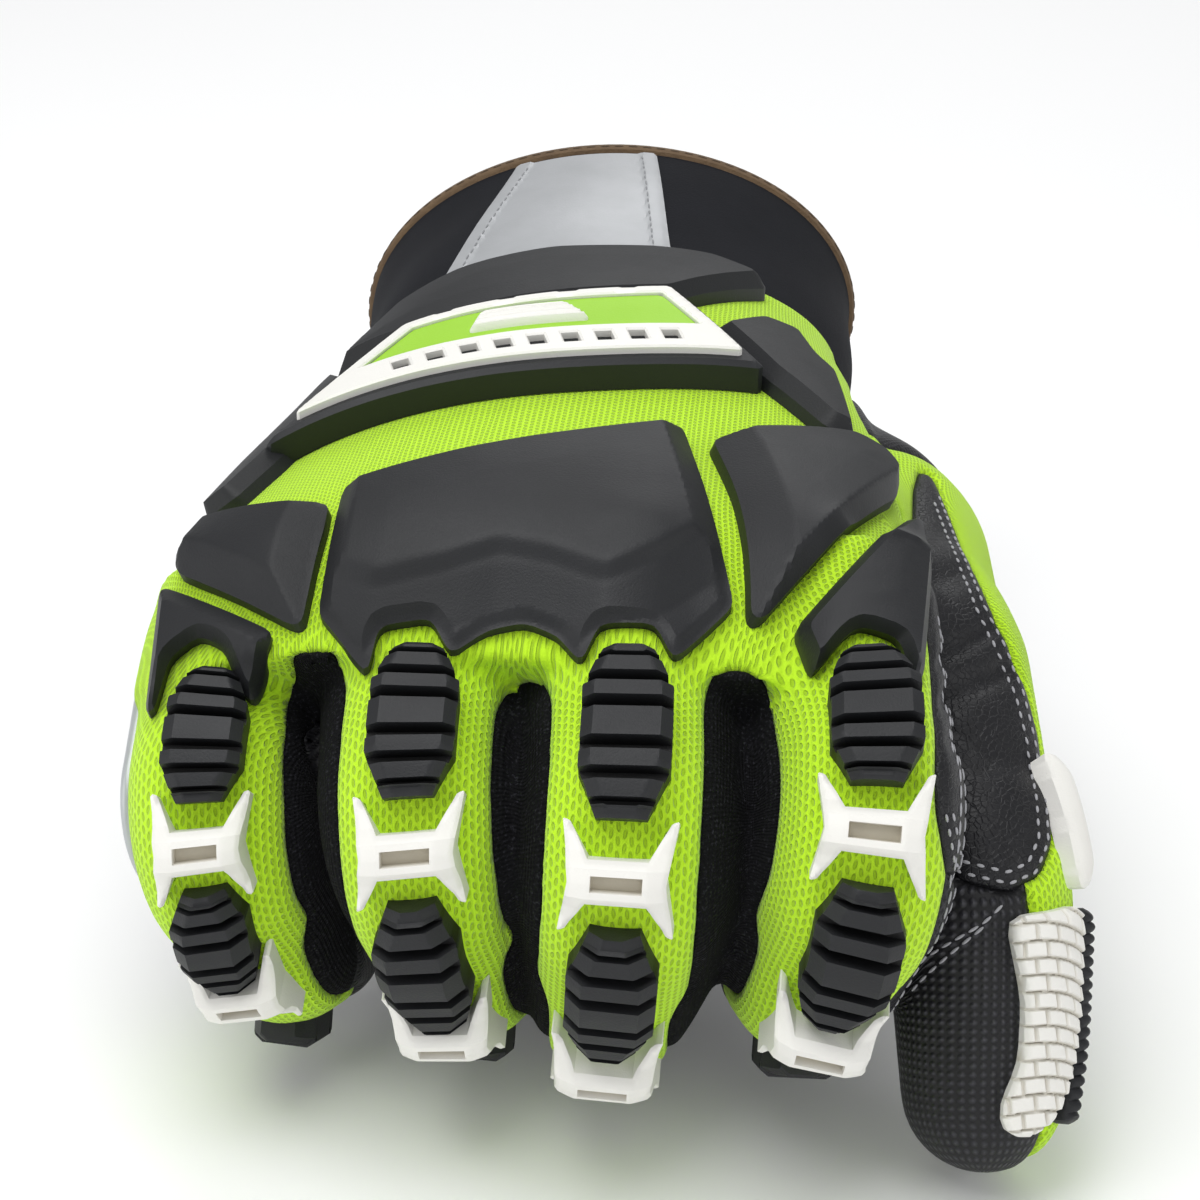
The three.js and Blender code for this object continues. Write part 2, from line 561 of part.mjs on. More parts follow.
const platesTaken = joined(['knuckle_plate', 'pinky_plate_lower', 'index_plate_lower']
  .flatMap((name) => around(PLATES[name].outline, PAD_CLEAR).map((outline) => plan(outline))));
order.forEach((name) => {
  const list = paths[name];
  const [firstBend, secondBend] = list.bends;
  const { first, second, tip, half, clips } = FINGER_PADS[name];
  const [knuckleClip, tipClip] = [firstBend + clips[0], secondBend + clips[1]];
  const pad = (bend, range) =>
    ribbedPad(list, range.map((s) => bend + s), half, PAD_RIBS, PAD.high, PAD.groove);
  const room = (s) => joined(around(clipOutline(half), PAD_CLEAR)
    .map((outline) => onTube(list, s, outline, CLIP.high + 2, -1)));
  const start = CLIP.notchDeep - CLIP.half - PAD_CLEAR;
  const beyond = [[-12, start], [12, start], [12, 20], [-12, 20]];
  pieces[`${name}_first_pad`] = largest(
    pad(firstBend, first).subtract(room(knuckleClip)).subtract(platesTaken),
  );
  pieces[`${name}_knuckle_clip`] = largest(clip(list, knuckleClip, half));
  pieces[`${name}_second_pad`] = largest(
    pad(firstBend, second).subtract(room(knuckleClip)).subtract(room(tipClip))
      .subtract(onTube(list, tipClip, beyond, CLIP.high + 2, -1)),
  );
  pieces[`${name}_tip_clip`] = largest(clip(list, tipClip, half));
  pieces[`${name}_tip_pad`] = ribbedPad(list, tip.map((s) => secondBend + s), half * TIP_PAD.half,
    TIP_PAD.ribs, TIP_PAD.high, TIP_PAD.groove);
});

pieces.thumb_scale_guard = largest(onTube(thumbPath, THUMB_GUARD.at, THUMB_GUARD.outline, THUMB_GUARD.high));
pieces.thumb_knuckle_guard = largest(
  onTube(thumbPath, KNUCKLE_GUARD.at, KNUCKLE_GUARD.outline, KNUCKLE_GUARD.high),
);
const edge = (grow) => band(thumbPath, EDGE_STRIP.range, EDGE_STRIP.side, [0, 40])
  .intersect(tube(thumbPath, grow));
pieces.thumb_edge_strip = largest(edge(EDGE_STRIP.high).subtract(tube(thumbPath, PLATE_BASE)));

// Piping in the seam on the outer side of the little finger.
const pipingPath = paths.pinky;
const pipingRings = [PIPING.range[0], ...pipingPath.map(({ s }) => s), PIPING.range[1]]
  .filter((s) => s >= PIPING.range[0] && s <= PIPING.range[1])
  .map((s) => {
    const station = stationAt(pipingPath, s);
    const reach = Math.sqrt(station.radius ** 2 - PIPING.out ** 2) + PLATE_BASE + PIPING.radius;
    return Array.from({ length: PIPING.sides }, (_, i) => {
      const angle = (i / PIPING.sides) * 2 * Math.PI;
      const [side, out] = [PIPING.radius * Math.cos(angle), PIPING.radius * Math.sin(angle)];
      return offset(station, side - reach, PIPING.out + out);
    });
  });
pieces.side_piping = solid(loft(pipingRings)).subtract(body(GAP));

// The materials of the pieces, and the piece names that take each.
const FINISHES = {
  knit: { color: 0xb5e332, roughness: 0.9 },
  leather: { color: 0x1b1c1e, roughness: 0.7 },
  gusset: { color: 0x141416, roughness: 0.95 },
  neoprene: { color: 0x25272b, roughness: 0.85 },
  binding: { color: 0x6b4f3a, roughness: 0.8 },
  reflective: { color: 0xaaacae, roughness: 0.5 },
  rubber: { color: 0x3b3d3f, roughness: 0.6 },
  white_rubber: { color: 0xeeece8, roughness: 0.55 },
};
const FINISH_OF = [
  ['knit', /(back_panel|badge_field)$/],
  ['leather', /(palm_panel|crotch_patch|front_panel)$/],
  ['gusset', /^fourchette/],
  ['neoprene', /^cuff$/],
  ['binding', /^cuff_binding$/],
  ['reflective', /^(reflective_strip|side_piping)$/],
  ['white_rubber', /(clip|guard|badge_frame)$/],
  ['rubber', /./],
];
const materials = Object.fromEntries(Object.entries(FINISHES).map(([name, { color, roughness }]) =>
  [name, new THREE.MeshStandardMaterial({ name, color, roughness, metalness: 0 })]));

function meshOf(name, piece) {
  const { vertProperties, triVerts } = piece.getMesh();
  const geometry = new THREE.BufferGeometry()
    .setAttribute('position', new THREE.Float32BufferAttribute(vertProperties, 3))
    .setIndex(new THREE.Uint32BufferAttribute(triVerts, 1));
  geometry.computeVertexNormals();
  const mesh = new THREE.Mesh(geometry, materials[FINISH_OF.find(([, rule]) => rule.test(name))[0]]);
  mesh.name = name;
  return mesh;
}

const glove = new THREE.Group();
Object.entries(pieces).forEach(([name, piece]) => glove.add(meshOf(name, piece)));
glove.position.set(-OPENING.x, -OPENING.y, -OPENING.z);

const part = new THREE.Group();
part.add(glove);
export default part;
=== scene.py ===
import math
import bpy
import bmesh
import numpy as np
from mathutils import Matrix, Vector
from mathutils.bvhtree import BVHTree
from mathutils.kdtree import KDTree


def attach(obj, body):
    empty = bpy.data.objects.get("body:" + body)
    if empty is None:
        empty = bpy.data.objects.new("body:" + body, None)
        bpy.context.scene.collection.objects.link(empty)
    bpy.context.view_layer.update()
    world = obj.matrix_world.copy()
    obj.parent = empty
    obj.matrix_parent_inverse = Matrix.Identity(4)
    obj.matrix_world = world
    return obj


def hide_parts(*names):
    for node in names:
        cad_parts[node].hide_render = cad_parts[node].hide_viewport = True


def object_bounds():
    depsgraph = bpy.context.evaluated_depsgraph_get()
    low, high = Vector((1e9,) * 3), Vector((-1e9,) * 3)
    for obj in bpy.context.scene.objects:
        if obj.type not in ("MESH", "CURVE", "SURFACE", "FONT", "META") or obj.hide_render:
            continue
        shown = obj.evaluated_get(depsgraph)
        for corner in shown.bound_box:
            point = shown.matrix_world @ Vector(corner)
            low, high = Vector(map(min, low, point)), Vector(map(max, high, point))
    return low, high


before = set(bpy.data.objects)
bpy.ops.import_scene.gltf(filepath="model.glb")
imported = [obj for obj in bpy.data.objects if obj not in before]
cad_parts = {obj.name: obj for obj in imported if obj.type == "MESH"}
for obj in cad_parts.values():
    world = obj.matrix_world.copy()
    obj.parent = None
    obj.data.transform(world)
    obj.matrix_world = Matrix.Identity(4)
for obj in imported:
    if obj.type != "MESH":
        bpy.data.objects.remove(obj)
cad_box = [list(corner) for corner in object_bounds()]

# The camera stands before the closed fist and a little over it, and looks down on the knuckles. Places are
# given from the knuckle row in millimetres, as in the part's source, and move to the cuff's opening.
MM = 0.001
OPENING = np.array([0.0, 138.0, -18.0])
EYE = (31.8, -364.7, 194.9)
DOWN, YAW, ROLL = (math.radians(angle) for angle in (28.35, -3.66, 2.37))
FOCAL_PIXELS = 3086
PHOTO_PIXELS = 1200
SENSOR = 36


def place(points):
    """Points from the knuckle row in millimetres, as points in the part's frame in metres."""
    return (np.asarray(points, float) - OPENING) * MM


ahead = Vector((math.sin(YAW) * math.cos(DOWN), math.cos(YAW) * math.cos(DOWN), -math.sin(DOWN)))
level = Vector((math.cos(YAW), -math.sin(YAW), 0))
above = level.cross(ahead)
right = level * math.cos(ROLL) + above * math.sin(ROLL)
up = above * math.cos(ROLL) - level * math.sin(ROLL)
lens = bpy.data.cameras.new("lens")
lens.sensor_width = SENSOR
lens.lens = FOCAL_PIXELS / PHOTO_PIXELS * SENSOR
lens.clip_start = 0.01
camera = bpy.data.objects.new("camera", lens)
turned = Matrix((right, up, -ahead)).transposed().to_4x4()
camera.matrix_world = Matrix.Translation(Vector(place(EYE))) @ turned
bpy.context.collection.objects.link(camera)
bpy.context.scene.camera = camera

# Studio: a pale seamless floor under the fist, a broad soft light over it, and weaker ones round it.
LIGHTS = {
    # name: place, size, power
    "light_over": ((-0.15, -0.25, 0.75), 0.6, 4.6),
    "light_left": ((-0.75, -0.45, 0.25), 0.5, 1.5),
    "light_right": ((0.75, -0.5, 0.3), 0.5, 1.3),
    "light_front": ((0.1, -0.95, 0.1), 0.6, 1.2),
    "light_behind": ((0.1, 0.6, 0.6), 0.5, 1.8),
}
LIT = Vector((0, -0.1, 0))
for name, (spot, size, power) in LIGHTS.items():
    data = bpy.data.lights.new(name, "AREA")
    data.shape = "SQUARE"
    data.size = size
    data.energy = power
    lamp = bpy.data.objects.new(name, data)
    lamp.location = spot
    lamp.rotation_euler = (LIT - Vector(spot)).to_track_quat("-Z", "Y").to_euler()
    bpy.context.collection.objects.link(lamp)
sky = bpy.data.worlds.new("studio")
sky.use_nodes = True
backdrop = sky.node_tree.nodes["Background"].inputs
backdrop["Color"].default_value = (0.93, 0.94, 0.95, 1)
backdrop["Strength"].default_value = 0.42
bpy.context.scene.world = sky
bpy.context.scene.view_settings.view_transform = "Standard"


# Shader maths on sockets: an expression on values adds its own Math nodes. The reflected forms let a plain
# number stand first.
def feed(tree, slot, item):
    """Links a value to an input, or sets a constant there."""
    if isinstance(item, Value):
        tree.links.new(item.socket, slot)
    else:
        slot.default_value = item


def operator(operation):
    return lambda self, other: self.math(operation, other)


class Value:
    __add__, __sub__, __mul__, __truediv__, __pow__ = map(operator, (
        "ADD", "SUBTRACT", "MULTIPLY", "DIVIDE", "POWER"))
    __radd__, __rmul__ = __add__, __mul__

    def __init__(self, tree, socket):
        self.tree = tree
        self.socket = socket

    def __rsub__(self, other):
        return self * -1.0 + other

    def math(self, operation, *others, clamp=False):
        node = self.tree.nodes.new("ShaderNodeMath")
        node.operation = operation
        node.use_clamp = clamp
        for slot, item in zip(node.inputs, (self, *others)):
            feed(self.tree, slot, item)
        return Value(self.tree, node.outputs[0])

    def clamped(self):
        return self.math("MULTIPLY", 1.0, clamp=True)


class Material:
    """A principled material. A socket whose name has spaces is named with underscores."""

    def __init__(self, name, roughness, **inputs):
        self.made = bpy.data.materials.new(name)
        self.made.use_nodes = True
        self.tree = self.made.node_tree
        self.shader = self.tree.nodes["Principled BSDF"]
        self.set(Roughness=roughness, **inputs)

    def set(self, **inputs):
        for key, value in inputs.items():
            feed(self.tree, self.shader.inputs[key.replace("_", " ")], value)

    def node(self, kind, settings=(), outlet=0, **inputs):
        """A new node's output. An input without a name of its own is given as its number after a line."""
        node = self.tree.nodes.new("ShaderNode" + kind)
        for key, value in dict(settings).items():
            setattr(node, key, value)
        for key, value in inputs.items():
            feed(self.tree, node.inputs[int(key[1:]) if key[1:].isdigit() else key], value)
        return Value(self.tree, node.outputs[outlet])

    def mix(self, share, one, two):
        return self.node("Mix", {"data_type": "RGBA"}, 2, _0=share, _6=one, _7=two)

    def bump(self, height, strength, depth):
        self.set(Normal=self.node("Bump", Height=height, Strength=strength, Distance=depth))

    def grain(self, scale, detail=3.0, rough=0.6):
        """Soft noise in the piece's own coordinates."""
        spot = self.node("TexCoord", outlet=3)
        return self.node("TexNoise", Vector=spot, Scale=scale, Detail=detail, Roughness=rough)

    def run(self):
        """The cloth's own coordinates in millimetres, across and along it."""
        parts = self.tree.nodes.new("ShaderNodeSeparateXYZ")
        feed(self.tree, parts.inputs[0], self.node("Attribute", {"attribute_name": "flow"}, 1))
        return [Value(self.tree, out) for out in parts.outputs[:2]]


def srgb(red, green, blue):
    """A colour read from 0 to 255, as the linear colour that a shader takes."""
    linear = ((c / 255 / 12.92) if c < 10 else ((c / 255 + 0.055) / 1.055) ** 2.4 for c in (red, green, blue))
    return (*linear, 1.0)


def object_of(bm, name, outward=True, sharp=None):
    """A smooth-shaded object that takes over this mesh. Edges over a sharp angle stay crisp."""
    if outward:
        bmesh.ops.recalc_face_normals(bm, faces=bm.faces)
    for face in bm.faces:
        face.smooth = True
    data = bpy.data.meshes.new(name)
    bm.to_mesh(data)
    bm.free()
    if sharp:
        data.set_sharp_from_angle(angle=math.radians(sharp))
    made = bpy.data.objects.new(name, data)
    bpy.context.collection.objects.link(made)
    return made


bm = bmesh.new()
bmesh.ops.create_grid(bm, x_segments=2, y_segments=2, size=3)
floor = object_of(bm, "floor", False)
floor.location = (0, 0, cad_box[0][2] - 0.002)
floor.data.materials.append(Material("floor_paper", 0.8, Base_Color=(0.95, 0.95, 0.95, 1)).made)


# The soft shell: a cut-and-sewn glove on a loosely closed fist. Its form is four curled finger tubes, a thumb
# and the hand, merged and smoothed like cloth over a hand, before it is divided into its sewn panels.
FINGERS = {
    # name: centre line from the knuckle to the tip, radius at each of its points
    "pinky": ([(-40, 5, -10), (-40.5, -26.5, -26.5), (-33, -19.3, -50.2), (-28.5, -7, -56.8)], (13, 11.8, 10.4, 8.8)),
    "ring": ([(-14, 2, -3.5), (-12, -36, -19), (-6.5, -25.3, -46.2), (-3.5, -10.5, -54.2)], (13.5, 11.5, 10.4, 9.2)),
    "middle": ([(12.5, 1, -1), (15.5, -39.5, -18), (14, -28.3, -47.7), (13.5, -12.5, -55.7)], (13.8, 12, 10.8, 9.5)),
    "index": ([(40, 4, -2.5), (47.5, -35, -14), (41, -29.8, -40.7), (37, -15.5, -48.7)], (13.8, 12, 10.8, 9.5)),
}
THUMB = ([(18, 82, -14), (42, 50, -22), (50.5, 18, -17), (61.5, -12, -31), (64.5, -26.5, -58.5)],
         (13.5, 21.5, 16.5, 12.8, 11.2))
HAND = np.array([
    # y, x, z, half width, height over, height under, little finger side's drop, lean
    (90, 2, -13, 38, 22, 22, 0, 0),
    (70, 4, -11, 40, 22.5, 24, 1, 0),
    (45, 4.5, -9, 45, 21.5, 24, 3, 0),
    (20, 2, -7, 50.5, 19.5, 19, 6, 0),
    (3, 0.5, -4, 54, 17, 16, 9, 10),
    (-8, 0.5, -7.5, 54.5, 15.3, 13.5, 9, 24),
    (-15, 0.5, -12, 54, 13, 11, 8, 36),
], float)
SQUARENESS = 2.5
# How far each finger bulges towards its neighbours, on the little finger's side and on the thumb's.
GUSSET_BULGE = {"pinky": (0, 3.4), "ring": (3.4, 3.2), "middle": (3.2, 5.2), "index": (5.2, 0), "thumb": (0, 0)}


def unit(rows):
    return rows / np.maximum(np.linalg.norm(rows, axis=-1, keepdims=True), 1e-9)


class Path:
    """A bent centre line, its corners rounded: distances, places, three axes and the radius along it."""

    def __init__(self, line, radii, sideways, bend):
        line = np.array(line, float)
        spots = [line[0]]
        sizes = [radii[0]]
        marks = []
        for i in range(1, len(line) - 1):
            before = unit(line[i] - line[i - 1])
            after = unit(line[i + 1] - line[i])
            turn = math.acos(np.clip(before @ after, -1, 1))
            pivot = line[i] + unit(after - before) * bend / math.cos(turn / 2)
            arm = line[i] - before * bend * math.tan(turn / 2) - pivot
            axis = Vector(np.cross(before, after))
            for share in np.linspace(0, 1, 17):
                spots.append(np.array(Matrix.Rotation(turn * share, 3, axis) @ Vector(arm)) + pivot)
                sizes.append(radii[i])
            marks.append(len(spots) - 9)
        spots.append(line[-1])
        sizes.append(radii[-1])
        spots = np.array(spots)
        steps = np.concatenate([[0], np.cumsum(np.linalg.norm(np.diff(spots, axis=0), axis=1))])
        self.bends = [steps[i] for i in marks]
        self.end = steps[-1]
        self.s = np.linspace(0, self.end, int(self.end / 0.6) + 1)
        self.spot = np.stack([np.interp(self.s, steps, spots[:, k]) for k in range(3)], 1)
        self.radius = np.interp(self.s, steps, sizes)
        self.along = unit(np.gradient(self.spot, axis=0))
        side = np.array(sideways, float)
        self.side = unit(side - self.along * (self.along @ side)[:, None])
        self.out = np.cross(self.along, self.side)

    def at(self, s, side, out):
        """The points at these distances along, sideways and outwards."""
        s, side, out = np.broadcast_arrays(np.asarray(s, float), side, out)
        inside = np.clip(s, 0, self.end)
        spot, along, across, over = (
            np.stack([np.interp(inside, self.s, table[:, k]) for k in range(3)], -1)
            for table in (self.spot, self.along, self.side, self.out))
        beyond = (s - inside)[..., None]
        return spot + along * beyond + across * side[..., None] + over * out[..., None]

    def size(self, s):
        return np.interp(s, self.s, self.radius)

    def find(self, points):
        """Where points lie: their distance along, sideways and outwards."""
        nearest = np.empty(len(points), int)
        for start in range(0, len(points), 20000):
            part = points[start:start + 20000]
            gaps = ((part[:, None, :] - self.spot[None]) ** 2).sum(2)
            nearest[start:start + 20000] = gaps.argmin(1)
        arm = points - self.spot[nearest]
        ahead_of = (arm * self.along[nearest]).sum(1)
        return (self.s[nearest] + ahead_of, (arm * self.side[nearest]).sum(1),
                (arm * self.out[nearest]).sum(1))


paths = {name: Path(line, radii, (1, 0, 0), 12.5) for name, (line, radii) in FINGERS.items()}
thumb = Path(*THUMB, (0.85, 0.5, 0), 21)


def on_grid(bm, us, vs):
    """A new flat grid's vertices, each with the numbers of its column and its row."""
    grid = bmesh.ops.create_grid(bm, x_segments=len(us) - 1, y_segments=len(vs) - 1, size=1)["verts"]
    return [(vert, round((vert.co.x + 1) / 2 * (len(us) - 1)), round((vert.co.y + 1) / 2 * (len(vs) - 1)))
            for vert in grid]


def wrapped(bm, rows):
    """A grid laid on rows of points; ends and sides that meet are merged into a closed skin."""
    grid = on_grid(bm, rows[0], rows)
    for vert, i, j in grid:
        vert.co = rows[j, i]
    bmesh.ops.remove_doubles(bm, verts=[vert for vert, _, _ in grid], dist=1e-4 * np.ptp(rows))


def tube_rows(path, grow, bulge=(0, 0), sides=48):
    """Rings of points along a finger or the thumb, with a round tip and a closed root. The gussets make the
    sides that face another finger wider."""
    angle = np.linspace(0, 2 * math.pi, sides + 1)
    rises = np.sin(np.linspace(0, math.pi / 2, 9)[1:])
    s = np.concatenate([[0], path.s[::3], path.end + rises * (path.size(path.end) + grow)])
    scale = np.concatenate([[0], np.ones(len(path.s[::3])), np.sqrt(1 - rises ** 2)])
    wide = ((path.size(s) + grow) * scale)[:, None]
    side = wide * np.cos(angle)
    last = path.bends[-1]
    fades = np.interp(s, (6, 16, last - 6, last + 8), (0, 1, 1, 0))[:, None] * np.clip(0.45 - np.sin(angle), 0, 1)
    side = side + np.where(side > 0, bulge[1], -bulge[0]) * fades * abs(np.cos(angle))
    return path.at(s[:, None], side, wide * np.sin(angle))


def hand_rows(grow, sides=96):
    """Rings of points round the hand, from the cuff's seam to the web between the fingers."""
    span = np.linspace(HAND[0, 0] + 8, HAND[-1, 0], 90)
    table = np.stack([np.interp(-span, -HAND[:, 0], HAND[:, k]) for k in range(8)], 1)
    padded = np.pad(table, ((5, 5), (0, 0)), mode="edge")
    smooth = np.stack([np.convolve(padded[:, k], np.ones(11) / 11, "valid") for k in range(8)], 1)
    smooth[:, 0] = span
    angle = np.linspace(0, 2 * math.pi, sides + 1)
    square = lambda v: np.sign(v) * np.abs(v) ** (2 / SQUARENESS)
    rows = []
    for y, x, z, wide, over, under, drop, lean in smooth:
        across = (wide + grow) * square(np.cos(angle))
        rise = square(np.sin(angle)) * (np.where(np.sin(angle) > 0, over, under) + grow)
        rise = rise - np.where(across < 0, drop * (across / wide) ** 2, 0)
        tilt = math.radians(lean)
        rows.append(np.stack([x + across, y - rise * math.sin(tilt), z + rise * math.cos(tilt)], 1))
    rows = [np.repeat(rows[0].mean(0)[None], sides + 1, 0), *rows, np.repeat(rows[-1].mean(0)[None], sides + 1, 0)]
    return np.array(rows)


def form_of(grow, voxel, passes):
    """The whole form in millimetres, grown by an amount: one closed, even skin."""
    bm = bmesh.new()
    wrapped(bm, hand_rows(grow))
    for name, path in (*paths.items(), ("thumb", thumb)):
        wrapped(bm, tube_rows(path, grow, GUSSET_BULGE[name]))
    made = object_of(bm, "form")
    skin = made.modifiers.new("skin", "REMESH")
    skin.mode = "VOXEL"
    skin.voxel_size = voxel
    skin.adaptivity = 0
    smooth = made.modifiers.new("smooth", "SMOOTH")
    smooth.factor = 0.5
    smooth.iterations = passes
    graph = bpy.context.evaluated_depsgraph_get()
    graph.update()
    data = bpy.data.meshes.new_from_object(made.evaluated_get(graph))
    bpy.data.objects.remove(made)
    return data


form = form_of(-0.1, 0.85, 10)


# The sewn panels: knit back with a strip over each finger, black gussets between the fingers, a leather palm
# that wraps the first finger's outer side, and the thumb's own pieces. Each seam is a shallow valley.
BAND = 10.4
WEB = (-13.4, -12.0, math.tan(math.radians(36)))
WEB_LIFT = (-37, -31, -24, -16, 4, 20, 38), (3, -1.5, -1.5, 0.3, 0.3, -2.6, -2.6)
SEAM_Z = -9.0
SEAM_TILT = math.radians(5)
THUMB_SEAMS = (40, 88)
CUFF_SEAM = 93
PANELS = ("thumb_crotch_patch", "thumb_back_panel", "back_panel", "fourchette_pinky_ring",
          "fourchette_ring_middle", "fourchette_middle_index", "thumb_front_panel", "palm_panel")
# The patch at the thumb's root is drawn on a plane across a line of sight.
PATCH_AT = np.array((60, 0, -14))
PATCH_VIEW = unit(np.array((-0.06, 0.88, -0.47)))
PATCH_ACROSS = unit(np.cross(PATCH_VIEW, (0, 0, 1)))
PATCH_RISE = np.cross(PATCH_ACROSS, PATCH_VIEW)
PATCH_DEPTH = (-60, 14)
PATCH = [(-8, 14), (-7.6, 22), (-6.3, 30), (-4.5, 33.5), (-2.2, 32), (-1.2, 28.4), (1, 19.6), (2.6, 14),
         (5.8, 7.3), (8, 1.9), (9.6, -5), (10.4, -12), (10.4, -18), (8, -22.5), (4, -24.2), (-3, -23),
         (-6.4, -20), (-8.4, -12), (-8.2, 0)]


def on_patch(points):
    """Where points lie across, up and into the patch's plane, and how far inside its outline."""
    arm = points - PATCH_AT
    across, rise = arm @ PATCH_ACROSS, arm @ PATCH_RISE
    return across, rise, arm @ PATCH_VIEW, inside_distance(np.stack([across, rise], 1), PATCH)


def inside_distance(points, outline):
    """How far points lie inside a closed outline, negative outside it."""
    points = np.asarray(points, float)
    outline = np.asarray(outline, float)
    nearest = np.full(len(points), 1e9)
    within = np.zeros(len(points), bool)
    for a, b in zip(outline, np.roll(outline, -1, axis=0)):
        edge = b - a
        share = np.clip(((points - a) @ edge) / max(edge @ edge, 1e-12), 0, 1)
        nearest = np.minimum(nearest, np.linalg.norm(points - a - share[:, None] * edge, axis=1))
        crosses = (a[1] > points[:, 1]) != (b[1] > points[:, 1])
        rise = b[1] - a[1] if abs(b[1] - a[1]) >= 1e-12 else 1e-12
        within ^= crosses & (points[:, 0] < (b[0] - a[0]) * (points[:, 1] - a[1]) / rise + a[0])
    return np.where(within, nearest, -nearest)


def rounded_max(one, other, width):
    """The larger of two fields, filleted where they cross."""
    blend = np.maximum(width - abs(one - other), 0) / width
    return np.maximum(one, other) + blend * blend * width / 4


def panel_at(points):
    """The panel that each point of the form belongs to, as its number in PANELS."""
    x, y, z = points.T
    found = {name: path.find(points) for name, path in paths.items()}
    gap = {name: np.hypot(side, out) - paths[name].size(s) + np.where(s < 0, -s, 0)
           for name, (s, side, out) in found.items()}
    s, side, out = thumb.find(points)
    thumb_gap = np.hypot(side, out) - thumb.size(s)
    on_thumb = (thumb_gap < 2.5) & (thumb_gap < np.min(list(gap.values()), axis=0))
    on_thumb_tip = on_thumb & (s > THUMB_SEAMS[1])
    on_thumb_back = on_thumb & (s > THUMB_SEAMS[0]) & (side > -0.5 + np.clip((s - 106) * 0.14, 0, 4.5)) & (out > -6)
    _, rise, depth, patch = on_patch(points)
    on_crotch = (patch > 0) & (depth > PATCH_DEPTH[0]) & (depth < PATCH_DEPTH[1] + np.maximum(rise - 8, 0) * 1.6)

    # The back of the hand ends at the side seam, and towards the fingers at the webs.
    level = z * math.cos(SEAM_TILT) - x * math.sin(SEAM_TILT)
    web = y - WEB[0] + (z - WEB[1]) * WEB[2] + np.interp(x, *WEB_LIFT)
    back = np.minimum(level - SEAM_Z, web * 0.8)
    # A strip of it runs over each finger. The little finger's reaches round its outer side.
    tips = np.zeros(len(points), bool)
    for name, (s, side, out) in found.items():
        end = paths[name].end
        wide = np.interp(s, (10, 30), (8.4, BAND)) if name == "pinky" else BAND
        half = np.minimum(wide, paths[name].size(s) * np.interp(s / end, (0.45, 0.7), (1.6, 0.78)))
        outer = side + {"pinky": 30, "index": half + 1.9}.get(name, half)
        low = out + 1.5 if name == "pinky" else out
        near = (9 if name == "pinky" else 6) - gap[name]
        band = np.minimum.reduce([half - side, outer, low, s, near])
        back = rounded_max(back, np.where(s < end, band, -9), 4.6)
        narrow = FINGERS[name][1][-1] * 0.8
        tips |= (gap[name] < 4) & (((abs(side) < narrow) & (out < -4)) | (s > end))

    number = np.full(len(points), PANELS.index("palm_panel"))
    number[on_thumb_tip] = PANELS.index("thumb_front_panel")
    for one, other in zip(FINGERS, list(FINGERS)[1:]):
        low, high = (np.interp(-y, (-knuckle[1], -joint[1]), (knuckle[0], joint[0]))
                     for knuckle, joint in (FINGERS[one][0][:2], FINGERS[other][0][:2]))
        between = (x > low) & (x < high) & (y < 3) & ~tips & ~((z < -17) & (y > -17))
        number[between & ~on_thumb] = PANELS.index(f"fourchette_{one}_{other}")
    number[(back > 0) & ~on_thumb] = PANELS.index("back_panel")
    number[on_thumb_back] = PANELS.index("thumb_back_panel")
    number[on_crotch] = PANELS.index("thumb_crotch_patch")
    return number


shell = bmesh.new()
shell.from_mesh(form)
shell.verts.ensure_lookup_table()
centres = np.array([face.calc_center_median() for face in shell.faces])
for face, number, centre in zip(shell.faces, panel_at(centres), centres):
    face.tag = bool(centre[1] > CUFF_SEAM)
    face.material_index = 0 if face.tag else number

# Crumbs of a panel cut off by a seam's steps join the panel round them, and the seams are drawn smooth.
for _ in range(6):
    changed = {}
    for face in shell.faces:
        around = [other.material_index for edge in face.edges for other in edge.link_faces if other is not face]
        common = max(set(around), key=around.count)
        if not face.tag and common != face.material_index and around.count(common) >= 3:
            changed[face] = common
    for face, number in changed.items():
        face.material_index = number
beside = {}
for edge in shell.edges:
    if len({face.material_index for face in edge.link_faces}) > 1:
        for one, other in (edge.verts, reversed(edge.verts)):
            beside.setdefault(one, []).append(other)
for _ in range(14):
    moved = {vert: (others[0].co + others[1].co) * 0.25 + vert.co * 0.5
             for vert, others in beside.items() if len(others) == 2}
    for vert, spot in moved.items():
        vert.co = spot
shell.normal_update()
spots = np.array([vert.co for vert in shell.verts])
normals = np.array([vert.normal for vert in shell.verts])

# Each seam is a shallow valley along the panels' edges.
SEAM_DEPTH = 0.75
SEAM_REACH = 2.4
seam_spots = spots[sorted(vert.index for vert in beside)]
seam_tree = KDTree(len(seam_spots))
for index, spot in enumerate(seam_spots):
    seam_tree.insert(spot, index)
seam_tree.balance()
seam_gaps = np.array([seam_tree.find(spot)[2] for spot in spots])
spots -= normals * (SEAM_DEPTH * np.clip(1 - seam_gaps / SEAM_REACH, 0, 1) ** 2)[:, None]

# The thumb root's leather sags into soft folds between the thumb and the first finger.
FOLDS = [(9, 0.5, 1.5, 1.1), (3.2, 0.35, 1.9, 1.3), (-5.5, -0.3, 2.4, 0.8), (18, 0.2, 1.8, 0.7)]
across, rise, depth, patch = on_patch(spots)
within = np.clip(patch / 2.5, 0, 1) * (depth < 40)
sag = sum(deep * np.exp(-((rise - at - slope * across) / wide) ** 2) for at, slope, wide, deep in FOLDS)
spots -= normals * (sag * within)[:, None]
for vert, spot in zip(shell.verts, spots):
    vert.co = Vector(spot)


# How the cloth runs on a finger and on the thumb: where its own run begins, over what length it takes over
# from the hand's, and across the hand where its middle lies.
RUNS = {**{name: (8, 20, line[0][0]) for name, (line, _) in FINGERS.items()}, "thumb": (50, 40, 20)}
RUN_NEAR = 7


